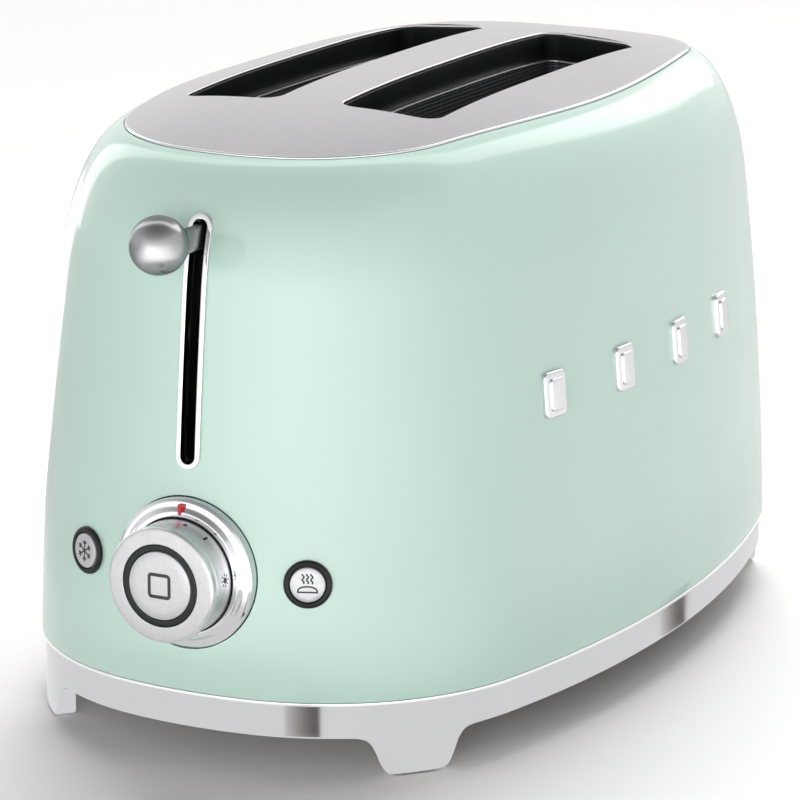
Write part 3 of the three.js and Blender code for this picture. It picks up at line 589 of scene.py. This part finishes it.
def make_world():
    """A dim warm fill, reflections that darken towards the ceiling, and a white backdrop."""
    world = bpy.data.worlds.new("studio")
    bpy.context.scene.world = world
    world.use_nodes = True
    tree = world.node_tree
    fill = tree.nodes["Background"]
    fill.inputs["Color"].default_value = (1, 0.93, 0.905, 1)
    fill.inputs["Strength"].default_value = 0.23
    direction = add_node(tree, "ShaderNodeTexCoord").outputs["Generated"]
    height = add_node(tree, "ShaderNodeSeparateXYZ", {0: direction}).outputs["Z"]
    ramp = add_node(tree, "ShaderNodeValToRGB", {"Fac": height})
    level, ceiling = ramp.color_ramp.elements
    level.position, level.color = 0.35, (1, 1, 1, 1)
    ceiling.position, ceiling.color = 0.95, (0.3, 0.3, 0.31, 1)
    mirrored = add_node(tree, "ShaderNodeBackground", {"Color": ramp.outputs["Color"]})
    backdrop = add_node(tree, "ShaderNodeBackground", {"Color": (1, 1, 1, 1)})
    rays = add_node(tree, "ShaderNodeLightPath").outputs
    unseen = add_node(tree, "ShaderNodeMixShader", {
        0: rays["Is Glossy Ray"], 1: fill.outputs[0], 2: mirrored.outputs[0]})
    whole = add_node(tree, "ShaderNodeMixShader", {
        0: rays["Is Camera Ray"], 1: unseen.outputs[0], 2: backdrop.outputs[0]})
    tree.links.new(whole.outputs[0], tree.nodes["World Output"].inputs["Surface"])


def make_floor():
    reach = 8.0
    corners = [(x, y, 0) for x, y in rectangle(-reach, -reach, reach, reach)]
    paper = surface("floor_paper", (0.94, 0.935, 0.93), 0.7, 0.0, (0.004, 3, 2),
                    Specular_IOR_Level=0.1)
    new_mesh("floor", corners, [(3, 2, 1, 0)], paper)


def glow_card(name, grid, shades):
    """A card that shows in reflections alone, from a grid of points and the glow at each."""
    rows, columns, _ = np.shape(grid)
    material = bpy.data.materials.new(name)
    material.use_nodes = True
    tree = material.node_tree
    tree.nodes.remove(tree.nodes["Principled BSDF"])
    shade = add_node(tree, "ShaderNodeAttribute", attribute_name="shade")
    glow = add_node(tree, "ShaderNodeEmission", {"Color": shade.outputs["Color"]})
    tree.links.new(glow.outputs[0], tree.nodes["Material Output"].inputs["Surface"])
    card = new_mesh(name, in_row_frame(grid), grid_faces(rows, columns, False, False), material)
    layer = card.data.color_attributes.new("shade", "FLOAT_COLOR", "POINT")
    colors = np.broadcast_to(np.reshape(shades, (rows, columns, -1)), (rows, columns, 3))
    for item, color in zip(layer.data, colors.reshape(-1, 3)):
        item.color = (*color, 1)
    card.visible_camera = card.visible_diffuse = card.visible_transmission = False
    card.visible_shadow = card.visible_volume_scatter = False


FLAG_Z, FLAG_DARK, FLAG_FADE, FLAG_FALLOFF = 0.9, (0.075, 0.05, 0.043), 0.6, 1.6


def floor_flag(name, wall_angles, azimuths, reach):
    """A dark flag on the floor, fading towards one side, that darkens a strip of the band."""
    grid, shades = [], []
    spans = [np.linspace(*ends, 9) for ends in ((0, 1), wall_angles, azimuths)]
    for t, wall, azimuth in zip(*spans):
        foot = outline_point(math.radians(wall), BAND_INSET)
        away = toward(azimuth, 0)[:2]
        grid.append([(*(foot + distance * away), FLAG_Z) for distance in reach])
        shades.append([np.array(FLAG_DARK) + FLAG_FADE * (1 - t)**FLAG_FALLOFF] * 2)
    glow_card(name, grid, shades)


SWEEP_Z, SWEEP_LENGTHEN, ROOM_RADIUS, ROOM_RISE = 0.6, 1.5, 3500, 4200
NEAR_GLOW = 0.88


def floor_sweep():
    """The light and dark of the floor and the room that the walls mirror."""
    azimuths = np.arange(-180, 181, 3)
    light = np.interp(
        azimuths,
        (-180, -165, -150, -130, -108, -82, -58, -28, 0, 60, 100, 150, 153, 165, 168, 180),
        (0.7, 0.7, 0.9, 1.8, 3.05, 3.4, 3.15, 2.4, 1.4, 1.0, 0.8, 0.7, 2.6, 2.6, 0.6, 0.7))
    plan = toward(azimuths, 0 * azimuths).T * (1, SWEEP_LENGTHEN, 0)
    rings = ((100, 0), (190, 0), (215, 0.45), (280, 0.95), (480, 1), (900, 1), (1600, 1),
             (ROOM_RADIUS, 1))
    glow_card("floor_sweep", [distance * plan + (0, 0, SWEEP_Z) for distance, _ in rings],
              [NEAR_GLOW + (light - NEAR_GLOW) * share for _, share in rings])
    front = (azimuths >= -150) & (azimuths <= 30)
    fade = np.interp(azimuths[front], (-150, -135, 10, 30), (0, 1, 1, 0))
    lifts = ((0, 1), (7, 0.85), (13, 0.45), (22, 0.25), (36, 0))
    glow_card("front_sweep",
              [ROOM_RADIUS * plan[front] + (0, 0, 1 + ROOM_RISE * math.tan(math.radians(lift)))
               for lift, _ in lifts],
              [1 + (light[front] - 1) * fade * share for _, share in lifts])


ARCH_RADIUS, ARCH_Z = 2500, 190
ARCH_STATIONS = (  # azimuth, elevation and half width in degrees
    (95, 7, 6), (91, 12, 7), (81, 19, 8), (73, 26, 8), (67, 32, 8), (61, 40, 8), (59, 50, 8),
    (74, 64, 7), (114, 72, 6), (150, 68, 6), (168, 56, 7), (167, 40, 7), (162, 24, 7),
    (159, 10, 6.5), (159, 0, 6), (159, -4, 6))


def arch_light():
    """An arched strip light behind the toaster, mirrored all along the shoulder."""
    azimuth, elevation, half_width = np.transpose(ARCH_STATIONS)
    middle = toward(azimuth, elevation).T
    across = unit_rows(np.cross(middle, np.gradient(middle, axis=0)))
    glow = np.interp(np.arange(len(middle)), (0, 4, 7, 10, 12, 15),
                     (2.9, 2.9, 1.9, 1.9, 2.7, 2.7))
    grid, shades = [], []
    for c, side, width, v in zip(middle, across, np.radians(half_width), glow):
        edges = width * np.array([[-1.35], [-0.95], [0.95], [1.35]])
        grid.append(ARCH_RADIUS * (c * np.cos(edges) + side * np.sin(edges)) + (0, 0, ARCH_Z))
        shades.append((0.9, v, v, 0.9))
    glow_card("arch_light", grid, shades)


make_camera()
make_world()
make_floor()
sun_light("key", 110, 56, 42, 2.7)
sun_light("front_fill", -76, 4, 36, 1.95)
area_light("side_fill", (0.61, 0.87, 1.06), (0, 0, 0.15), 0.9, 4.3)
floor_sweep()
arch_light()
floor_flag("flag_front", (-72.7, -64.5), (-84.4, -67.4), (34, 86))
floor_flag("flag_side", (-1.6, 1.1), (63.4, 69.3), (38, 92))
bpy.context.scene.view_settings.view_transform = "Standard"

# ---- Body shell

BEZEL_RADIUS, BUTTON_NECK = 24.0, 6.7
GLAND_PLACE, GLAND_NECK = wall_place(math.pi / 2, 36.0), 5.4
TRIM_FOOT_Z, TRIM_TOP_Z, TRIM_HALF, TRIM_OPENING = 95.6, 174.0, 4.2, 2.5
LEDGE_WIDTH, LEDGE_DROP = 5, 1.5


def shell_section(angle):
    """The closed section of the shell: foot, wall, roll, rim, ledge and inner skin."""
    inset = rim_inset(angle)
    outer = [(wall_inset(z), z) for z in np.linspace(SHELL_FOOT_Z + 0.5, SHOULDER_Z, 44)[:-1]]
    roll = [tuple(shoulder(angle, t)[0]) for t in np.linspace(0, 0.96, 26)]
    lip_z = crown_at(angle, inset) - RIM_DROP
    lip = [(inset - 0.45, lip_z - 0.06), (inset - 0.15, lip_z - 0.12), (inset, lip_z - 0.4)]
    ledge = inset + LEDGE_WIDTH
    ledge_z = crown_at(angle, ledge) - LEDGE_DROP
    shelf = [(inset, crown_at(angle, inset) - LEDGE_DROP), (ledge, ledge_z),
             (ledge, ledge_z - SHELL_SHEET)]
    inner = []
    for t in np.linspace(0.8, 0, 7):
        p, along = shoulder(angle, t)
        inner.append((p[0] + SHELL_SHEET * along[1], p[1] - SHELL_SHEET * along[0]))
    inner += [(wall_inset(z) + SHELL_SHEET, z) for z in (110, 70, SHELL_FOOT_Z + 0.3)]
    foot = [(SHELL_SHEET - 0.3, SHELL_FOOT_Z), (0.3, SHELL_FOOT_Z), (0.08, SHELL_FOOT_Z + 0.15)]
    return outer + roll + lip + shelf + inner + foot


def stadium(half, foot, top, parts=16):
    """A closed (x, z) loop with round ends."""
    angles = np.linspace(0, math.pi, parts)
    upper = [(half * math.cos(a), top - half + half * math.sin(a)) for a in angles]
    lower = [(-half * math.cos(a), foot + half - half * math.sin(a)) for a in angles]
    return np.array(upper + lower)


def lever_cutter():
    loop = stadium(TRIM_OPENING + 0.9, TRIM_FOOT_Z + 0.8, TRIM_TOP_Z - 0.8)
    rings = [[(x, y, z) for x, z in loop] for y in (-HALF_LENGTH - 5, -HALF_LENGTH + 40)]
    return stack("lever_cutter", rings, None)


def round_cutter(name, place, radius):
    return turned_solid(name, place, [(radius, -14), (radius, 12)], None, 64)


def build_shell():
    shell = outline_ring("enamel_shell", FINE, shell_section, ENAMEL, 40)
    cut(shell, [
        lever_cutter(),
        round_cutter("dial_cutter", DIAL_PLACE, BEZEL_RADIUS + GAP),
        round_cutter("defrost_cutter", DEFROST_PLACE, BUTTON_NECK + GAP),
        round_cutter("reheat_cutter", REHEAT_PLACE, BUTTON_NECK + GAP),
        round_cutter("gland_cutter", GLAND_PLACE, GLAND_NECK + GAP)], 40)
    settle(shell, "casing", "enamel", "body_shell")


build_shell()

# ---- Top plate, collars and throats

PLATE_HALF_X, PLATE_HALF_Y, PLATE_STEP = 74, 142, 2
HEM, COLLAR_DEPTH, COLLAR_DROP = 0.7, 10.0, 0.9
SIDES = ((-1, "left"), (1, "right"))


def slot_loop(side, shrink):
    """The slot's outline as a closed (x, y) loop, its long sides split to follow the dome."""
    half_x, half_y = SLOT_WIDTH / 2 - shrink, SLOT_LENGTH / 2 - shrink
    radius = max(SLOT_CORNER - shrink, 0.5)
    loop = []
    for cx, cy, start in ((1, 1, 0), (-1, 1, 90), (-1, -1, 180), (1, -1, 270)):
        for a in np.radians(np.linspace(start, start + 90, 10)):
            loop.append((cx * (half_x - radius) + radius * math.cos(a),
                         cy * (half_y - radius) + radius * math.sin(a)))
        if cx != cy:
            stops = np.linspace(cy * (half_y - radius), -cy * (half_y - radius), 24)[1:-1]
            loop += [(cx * half_x, y) for y in stops]
    return np.array(loop) + (side * SLOT_X, SLOT_Y)


def plate_rim():
    return [outline_point(a, rim_inset(a) + GAP + HEM) for a in FINE]


def build_plate():
    """A domed sheet over the whole top, trimmed to its outline and cut for the slots."""
    xs = np.arange(-PLATE_HALF_X, PLATE_HALF_X + 1, PLATE_STEP)
    ys = np.linspace(-PLATE_HALF_Y, PLATE_HALF_Y, 141)
    columns, rows = len(xs), len(ys)
    top = np.array([[x, y, crown_height(x, y)] for x in xs for y in ys])
    count = len(top)
    faces = grid_faces(columns, rows, False, False)
    below = [tuple(i + count for i in f[::-1]) for f in faces]
    last = (columns - 1) * rows
    edge = [*range(0, last, rows), *range(last, last + rows), *range(last - 1, 0, -rows),
            *range(rows - 2, 0, -1)]
    walls = [(a, b, b + count, a + count) for a, b in zip(edge, edge[1:] + edge[:1])]
    plate = solid("steel_plate", [top, top - (0, 0, PLATE_SHEET)], faces + below + walls, BRUSHED)
    heights = 150, 220
    cut(plate, [slab("outline_block", plate_rim(), *heights)], 30, "INTERSECT")
    cut(plate, [slab("slot_cutter", slot_loop(side, -HEM), *heights) for side, _ in SIDES], 30)
    settle(plate, "casing", "brushed_steel", "top_plate")


def build_hem(name, starts, directions, material, slot):
    """A rounded edge on the plate that reaches out from its starts along its directions."""
    r = PLATE_SHEET / 2
    arc = [(HEM - r + r * math.cos(a), -r + r * math.sin(a))
           for a in np.linspace(math.pi / 2, -math.pi / 2, 9)]
    rows = []
    for start, direction in zip(starts, directions):
        row = []
        for out, up in [(0, 0)] + arc + [(0, -PLATE_SHEET)]:
            x, y = start + direction * out
            row.append((x, y, crown_height(x, y) + up))
        rows.append(row)
    settle(ring(name, rows, material), "casing", slot)


def build_hems():
    """The plate's outer edge, and the edges that turn down into the slots."""
    normals = np.column_stack([np.cos(FINE), np.sin(FINE)])
    build_hem("plate_edge", plate_rim(), normals, BAND_METAL, "polished_metal")
    for side, word in SIDES:
        starts = slot_loop(side, -HEM)
        build_hem(f"slot_edge_{word}", starts, unit_rows(slot_loop(side, 0) - starts), BRUSHED,
                  "brushed_steel")


SLOT_LININGS = (  # name, inset, thickness, drop, height or None to the foot, rounding, finish
    ("slot_collar", GAP, 0.8, 0, COLLAR_DEPTH, 0.25, COATING, "dark_coating"),
    ("throat_wall", 1.6, 0.7, COLLAR_DEPTH - 0.4, None, 0.2, THROAT, "dark_coating"),
    ("throat_edge", 1.25, 1.4, COLLAR_DEPTH - 1.4, 0.7, 0.2, BEAD_METAL, "polished_metal"))


def build_collars():
    """Each slot's dark collar, and under it a woven-pattern throat with a bright top edge."""
    for side, word in SIDES:
        node = f"slot_liner_{word}"
        foot_z = box_mm(node)[0][2]
        for name, inset, thickness, drop, height, rounding, material, slot in SLOT_LININGS:
            rows = []
            for outer, inner in zip(slot_loop(side, inset), slot_loop(side, inset + thickness)):
                top = crown_height(*outer) - COLLAR_DROP - drop
                low = top - height if height else foot_z
                section = rounded(rectangle(0, low, 1, top), rounding, 3)
                rows.append([(*(outer + (inner - outer) * s), z) for s, z in section])
            replaced = [node] if name == "slot_collar" else []
            settle(ring(f"{name}_{word}", rows, material), "casing", slot, *replaced)


build_plate()
build_hems()
build_collars()

# ---- Foot band and feet

MOUTH_HALF, MOUTH_TOP_Z = 47.0, 22.4
LUG_TOP_Z, LUG_THICKNESS = 15, 5
FAR = 200  # past every side of the body


def foot_share(angle):
    """How far the band reaches down to a foot's tip, from 0 between the feet to 1."""
    folded = math.atan2(abs(math.sin(angle)), abs(math.cos(angle)))
    distance = abs(folded - FOOT_ANGLE) * CORNER_RADIUS
    return 1 / (1 + (distance / FOOT_HALF_WIDTH) ** FOOT_FLARE)


def foot_height(share):
    return BAND_FOOT_Z - (BAND_FOOT_Z - FOOT_TIP_Z) * share


def band_section(angle):
    share = foot_share(angle)
    foot_z = foot_height(share)
    shift = FOOT_TAPER * share
    inner = BAND_INSET + BAND_SHEET
    top = SHELL_FOOT_Z - GAP
    outside = [(BAND_INSET, top - 0.4), (BAND_INSET, BAND_FOOT_Z + 1.5)]
    inside = [(inner, BAND_FOOT_Z + 1.5), (inner, top), (BAND_INSET + 0.4, top)]
    low = [(BAND_INSET + shift * 0.6, foot_z + 0.55 + (BAND_FOOT_Z + 0.4 - foot_z) * 0.4),
           (BAND_INSET + shift, foot_z + 0.55), (BAND_INSET + shift + 0.16, foot_z + 0.16),
           (BAND_INSET + shift + 0.55, foot_z), (inner + shift - 0.5, foot_z),
           (inner + shift, foot_z + 0.5)]
    return outside + low + inside


def band_angles():
    """The whole turn, with closer steps across each foot."""
    near = FOOT_ANGLE + np.linspace(-24, 24, 65) / CORNER_RADIUS
    rest = QUARTER[abs(QUARTER - FOOT_ANGLE) > 24.5 / CORNER_RADIUS]
    return whole_turn(np.sort(np.concatenate([near, rest])))


def build_band():
    """The band with the mouth for the crumb tray, and the bright bead along its top."""
    band = outline_ring("foot_band", band_angles(), band_section, BAND_METAL, 40)
    cut(band, [slab("mouth", rectangle(-MOUTH_HALF, 100, MOUTH_HALF, FAR),
                    BAND_FOOT_Z - 5, MOUTH_TOP_Z)], 40)
    settle(band, "casing", "polished_metal", "base_band")
    top = SHELL_FOOT_Z - GAP
    section = rounded([(-0.1, top - 0.75), (-0.1, top + 0.25), (0.25, top + 0.25),
                       (1.4, top + 0.05), (1.4, top - 0.75)], 0.3)
    settle(outline_ring("band_bead", FINE, lambda angle: section, BEAD_METAL), "casing",
           "polished_metal")


def build_tray_handle():
    """The crumb tray's front, cut out of a ring like the band to fill the mouth."""
    section = rounded(rectangle(BAND_INSET, BAND_FOOT_Z + GAP, BAND_INSET + BAND_SHEET,
                                MOUTH_TOP_Z - GAP), 0.4)
    handle = outline_ring("tray_front", FINE, lambda angle: section, BAND_METAL, 40)
    strip = MOUTH_HALF - GAP
    for sides in ((-FAR, -FAR, -strip, FAR), (strip, -FAR, FAR, FAR),
                  (-strip - 5, -FAR, strip + 5, 90)):
        cut(handle, [slab("side", rectangle(*sides), 0, 60)], 40)
    settle(handle, "tray", "polished_metal", "tray_handle")


def lug_section(angle):
    share = foot_share(angle)
    outer = BAND_INSET + BAND_SHEET - 0.5 + FOOT_TAPER * share
    return rounded(rectangle(outer, foot_height(share), outer + LUG_THICKNESS, LUG_TOP_Z), 1.1)


def build_feet():
    """A thick metal lug behind each tongue of the band, on a thin dark pad."""
    pad_section = rounded(rectangle(2.6, 0, 8.2, 1.2), 0.3)
    for corner, angle in (("rear_right", FOOT_ANGLE), ("rear_left", math.pi - FOOT_ANGLE),
                          ("front_left", math.pi + FOOT_ANGLE), ("front_right", -FOOT_ANGLE)):
        lug_angles = angle + np.linspace(-9.5, 9.5, 25) / CORNER_RADIUS
        pad_angles = angle + np.linspace(-6.2, 6.2, 17) / CORNER_RADIUS
        lug = stack(f"foot_lug_{corner}", section_rows(lug_angles, lug_section), BAND_METAL)
        pad = stack(f"foot_pad_{corner}_rubber",
                    section_rows(pad_angles, lambda angle: pad_section), RUBBER)
        settle(lug, "casing", "polished_metal")
        settle(pad, "casing", "rubber", f"foot_pad_{corner}")


build_band()
build_tray_handle()
build_feet()

# ---- Lever

LEVER_Z, LEVER_TRAVEL = 167.0, 65.0
ball_low, ball_high = box_mm("lever_ball")
BALL_RADIUS = (ball_high[1] - ball_low[1]) / 2
BALL_Y, BALL_Z = (ball_low + ball_high)[1:] / 2
NECK_SIZES, FIN_SIZES = np.array([(6.4, 6.6, BALL_Z), (1.5, 3.9, LEVER_Z)])  # halves, and z


def build_trim():
    """The slot's bright surround, laid on the curved wall."""
    inner = TRIM_OPENING + 0.6
    section = rounded([(TRIM_HALF, -0.05), (TRIM_HALF, 1.0), (TRIM_OPENING, 1.0),
                       (TRIM_OPENING, -3), (inner, -3), (inner, -0.05)], 0.35)
    high, low = TRIM_TOP_Z - TRIM_HALF, TRIM_FOOT_Z + TRIM_HALF
    arc = np.linspace(0, math.pi, 24, endpoint=False)
    run = np.linspace(high, low, 30, endpoint=False)
    loop = [(high, math.cos(a), math.sin(a)) for a in arc] + [(z, -1, 0) for z in run]
    loop += [(low, -math.cos(a), -math.sin(a)) for a in arc]
    loop += [(high + low - z, 1, 0) for z in run]
    rows = [[(x * r, wall_y(z + up * r) - out, z + up * r) for r, out in section]
            for z, x, up in loop]
    settle(ring("slot_trim", rows, POLISHED), "casing", "polished_metal", "lever_slot_trim")


def build_lever():
    """A ball whose neck draws in to the flat fin that runs through the slot."""
    turns = circle(72)
    rings = []
    for t in np.linspace(0.02, math.pi - 0.02, 48):
        r, y = BALL_RADIUS * math.sin(t), BALL_Y - BALL_RADIUS * math.cos(t)
        rings.append([(r * c, y, BALL_Z + r * s) for c, s in turns])
    settle(stack("lever_knob", rings, BALL_METAL, 180), "carriage", "polished_metal", "lever_ball")
    # The wall stands furthest out where the lever ends its travel, so the neck ends before it.
    start = BALL_Y + BALL_RADIUS * 0.55
    wall = wall_y(LEVER_Z - LEVER_TRAVEL)
    rings = []
    for t in np.linspace(0, 1, 14):
        ease = t * t * (3 - 2 * t)
        half_x, half_z, z = NECK_SIZES * (1 - ease) + FIN_SIZES * ease
        y = start + (wall - 1.4 - start) * t
        power = 2 + 3 * ease  # from round to nearly square
        loop = []
        for c, s in turns:
            k = (abs(c) ** power + abs(s) ** power) ** (-1 / power)
            loop.append((half_x * c * k, y, z + half_z * s * k))
        rings.append(loop)
    for y in (wall + 20, box_mm("lever_stem")[1][1]):
        rings.append([(x, y, z) for x, _, z in rings[-1]])
    settle(stack("lever_neck", rings, BALL_METAL, 50), "carriage", "polished_metal", "lever_stem")


build_trim()
build_lever()

# ---- Dial and its push button

DIAL_CAP, DIAL_BAND, DIAL_BORE, DIAL_STEP, DIAL_FRONT = 18.5, 18.1, 13.1, 11.7, 16.0
MARK_DEPTH, SUN_DEGREES, RAY_HALF = 7.0, 84, 0.19
STOP_HALF, STOP_LINE = 3.5, 1.1


def build_bezel():
    section = rounded([
        (18.5, -8), (BEZEL_RADIUS, -8), (BEZEL_RADIUS, 0.9, 0.5), (23.1, 1.7, 0.8),
        (21.4, 1.9, 1.0), (20.2, 3.3, 0.8), (18.5, 3.4, 0.4)], 0.2, 6)
    settle(turned("dial_surround", DIAL_PLACE, section, POLISHED, 128, 50),
           "casing", "polished_metal", "dial_bezel")
    marker = [(-0.45, 19.3), (0.45, 19.3), (0.6, 22.6), (-0.6, 22.6)]
    settle(prism("setting_marker", DIAL_PLACE, marker, 1.6, 3.6, RED_INK),
           "casing", "polished_metal")


def build_dial():
    section = rounded([
        (3.3, -1.8), (DIAL_BAND, -1.8), (DIAL_BAND, DIAL_STEP - 0.2, 0.2),
        (DIAL_CAP - 0.2, DIAL_STEP + 0.3, 0.3), (DIAL_CAP, DIAL_STEP + 1.4, 0.6),
        (DIAL_CAP, DIAL_FRONT - 0.2, 1.3), (DIAL_BORE, DIAL_FRONT, 0.3), (DIAL_BORE, 2.3),
        (3.3, 2.3)], 0.15, 6)
    knob = turned("browning_dial", DIAL_PLACE, section, TURNED_METAL, 128, 40)
    knob.data.materials.append(ALUMINIUM)
    for face in knob.data.polygons:
        face.material_index = int(abs(face.normal.y) > 0.8)
    settle(knob, "dial", "aluminium", "dial_knob")
    groove = rounded(rectangle(11.05, 7.3, 12.95, 15.75), 0.25)
    settle(turned("dial_insert", DIAL_PLACE, groove, DARK_PLASTIC), "dial", "dark_plastic",
           "dial_ring")
    face = [(2.5, 4.3), (2.5, 10.2), (10.4, 10.4), (10.85, 10.8), (10.9, 15.6), (10.75, 15.98),
            (10.4, 16.15), (8, 16.2), (0.05, 16.22)]
    settle(turned_solid("stop_disc", DIAL_PLACE, face, ALUMINIUM), "stop", "aluminium",
           "stop_button")
    build_dial_marks()


def band_patch(name, degrees, depth, loop):
    """A printed mark on the dial's side: loop is (round the band, along it)."""
    around, along = np.transpose(loop)
    a = math.radians(90 - degrees) - around / DIAL_BAND
    rings = [DIAL_PLACE.at(np.transpose([r * np.cos(a), r * np.sin(a), depth + along]))
             for r in (DIAL_BAND - 0.05, DIAL_BAND + 0.05)]
    return stack(name, rings, BLACK_INK)


def build_dial_marks():
    """Browning marks: a dot, then longer and longer bars, and a small sun."""
    marks = [band_patch("mark_dot", 13, MARK_DEPTH, 0.75 * circle(20))]
    for i, degrees in enumerate((38, 150, 180, 210, 240)):
        half = 1.2 + 0.15 * i
        bar = rectangle(-0.4, -half, 0.4, half)
        marks.append(band_patch("mark_bar", degrees, MARK_DEPTH, bar))
    marks.append(band_patch("sun_disc", SUN_DEGREES, MARK_DEPTH, 0.95 * circle(20)))
    ray = np.array(rectangle(1.35, -RAY_HALF, 2.1, RAY_HALF))
    for k in range(8):
        c, s = math.cos(k * math.pi / 4), math.sin(k * math.pi / 4)
        marks.append(band_patch("sun_ray", SUN_DEGREES, MARK_DEPTH, ray @ [(c, s), (-s, c)]))
    settle(joined("dial_marks", marks), "dial", "aluminium")


def build_stop_symbol():
    square = rounded(rectangle(-STOP_HALF, -STOP_HALF, STOP_HALF, STOP_HALF), 0.9)
    settle(stroke("stop_symbol", DIAL_PLACE, np.vstack([square, square[:2]]), STOP_LINE, 16.18),
           "stop", "aluminium")


build_bezel()
build_dial()
build_stop_symbol()

# ---- Defrost and reheat buttons

BUTTON_FACE = 1.5
SYMBOL_SCALE, SYMBOL_LINE = 1.12, 0.52


def snowflake():
    strokes = []
    for angle in range(30, 390, 60):
        arm = toward(angle, 0)[:2]
        strokes.append([0 * arm, 3.1 * arm])
        for turn in (-50, 50):
            strokes.append([1.9 * arm, 1.9 * arm + toward(angle + turn, 0)[:2]])
    return strokes


def warm_bun():
    v = np.linspace(0.4, 3.2, 14)
    a = np.linspace(0, math.pi, 18)
    strokes = [np.column_stack([x + 0.28 * np.sin((v - 0.4) * 4.2), v]) for x in (-1.2, 0, 1.2)]
    strokes.append(np.column_stack([2.7 * np.cos(a), -1.9 + 1.5 * np.sin(a) ** 0.8]))
    strokes.append([(-2.9, -2.0), (2.9, -2.0)])
    return strokes


def build_button(word, place, strokes):
    ring_section = rounded([(5.85, -5), (BUTTON_NECK, -5), (BUTTON_NECK, 0.1), (7.6, 0.1, 0.1),
                            (7.55, 0.9, 0.5), (6.6, 1.35, 0.5), (5.85, 1.1, 0.2)], 0.1, 5)
    settle(turned(f"{word}_surround", place, ring_section, DARK_PLASTIC, 72), "casing",
           "dark_plastic", f"{word}_ring")
    face = [(5.5, -6), (5.55, 0.9), (5.4, 1.25), (5.1, 1.42), (4, BUTTON_FACE),
            (0.05, BUTTON_FACE + 0.02)]
    settle(turned_solid(f"{word}_cap", place, face, ALUMINIUM, 72), word, "aluminium",
           f"{word}_button")
    lines = [stroke("line", place, np.array(points) * SYMBOL_SCALE, SYMBOL_LINE,
                    BUTTON_FACE - 0.02) for points in strokes]
    settle(joined(f"{word}_symbol", lines), word, "aluminium")


build_button("defrost", DEFROST_PLACE, snowflake())
build_button("reheat", REHEAT_PLACE, warm_bun())

# ---- Raised tablets on the side

TABLET_Z, TABLET_WIDE, TABLET_HIGH, TABLET_RIM = 111.0, 11.0, 15.0, 2.2


def build_tablets():
    """Plain tablets, each a rounded rim with a smaller crest on it."""
    half_u, half_v = TABLET_WIDE / 2, TABLET_HIGH / 2
    loop = rounded(rectangle(-half_u, -half_v, half_u, half_v), 2.4, 6)
    inner = loop * (1 - TABLET_RIM / half_u, 1 - TABLET_RIM / half_v)
    for i in range(4):
        node = f"side_tablet_{i + 1}"
        y = sum(box_mm(node))[1] / 2
        place = wall_place(math.asin(y / (SIDE_RADIUS - wall_inset(TABLET_Z))), TABLET_Z)
        piece = joined(f"chrome_tablet_{i + 1}", [
            prism("rim", place, loop, -0.1, 1.5, POLISHED, 0.8, 60),
            prism("crest", place, inner, 1.2, 2.3, POLISHED, 0.7, 60)])
        settle(piece, "casing", "polished_metal", node)


build_tablets()

# ---- Bread guides and lifts

GUIDE_WIRE, GUIDE_HALF, GUIDE_FOOT_Z, GUIDE_TOP_Z = 1.0, 73.0, 52.0, 167.0
GUIDE_BOW = 0.5


def build_guides():
    """Cages of upright wires, bowed towards the bread, between two rails."""
    zs = np.linspace(GUIDE_FOOT_Z, GUIDE_TOP_Z, 16)
    bow = GUIDE_BOW * np.sin((zs - GUIDE_FOOT_Z) / (GUIDE_TOP_Z - GUIDE_FOOT_Z) * math.pi)
    for word in ("left_outer", "left_inner", "right_inner", "right_outer"):
        node = f"bread_guide_{word}"
        x = sum(box_mm(node))[0] / 2
        inward = 1 if word in ("left_outer", "right_inner") else -1
        wires = []
        for z in (GUIDE_FOOT_Z, GUIDE_TOP_Z):
            path = [(x, y, z) for y in np.linspace(-GUIDE_HALF - 2, GUIDE_HALF + 2, 30)]
            wires.append(tube("rail", path, GUIDE_WIRE, PLATED))
        for y in np.linspace(-GUIDE_HALF, GUIDE_HALF, 8):
            wires.append(tube("upright", [(x + inward * b, y, z) for z, b in zip(zs, bow)],
                              GUIDE_WIRE * 0.9, PLATED))
        settle(joined(f"wire_guide_{word}", wires), f"guide_{word}", "plated_sheet", node)


def build_lifts():
    """Strips folded up along both edges, which keep the slice upright."""
    for _, word in SIDES:
        node = f"bread_lift_{word}"
        (x0, y0, z), (x1, y1, _) = box_mm(node)
        x, half = (x0 + x1) / 2, (x1 - x0) / 2
        section = rounded([(-half, 0.6), (-half, 0), (half, 0), (half, 2.4), (half - 1, 2.4),
                           (half - 1, 1), (-half + 1, 1), (-half + 1, 2.4), (-half, 2.4)], 0.25, 3)
        rings = [[(x + u, y, z + v) for u, v in section] for y in np.linspace(y0, y1, 3)]
        settle(stack(f"lift_strip_{word}", rings, PLATED), "carriage", "plated_sheet", node)


build_guides()
build_lifts()

# ---- Pieces that keep their CAD shape

CAD_FINISHES = (  # materials, and how the names of the nodes that have them start
    (PLATED, ("base_plate", "base_screw", "crumb_tray", "carriage", "keeper_plate",
              "front_frame", "rear_frame", "heat_shield")),
    (DARK_PLASTIC, ("cord_gland", "potentiometer")), (PALE_PLASTIC, "terminal_block"),
    (POLISHED, ("guide_rod", "lift_spring", "dial_shaft")), (COPPER, "electromagnet"),
    (BOARD, "circuit_board"), (MICA, "heater_board"), (WIRE, "heating_ribbon"))
for name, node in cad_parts.items():
    for material, starts in CAD_FINISHES:
        if name.startswith(starts):
            node.data.materials.clear()
            node.data.materials.append(material)

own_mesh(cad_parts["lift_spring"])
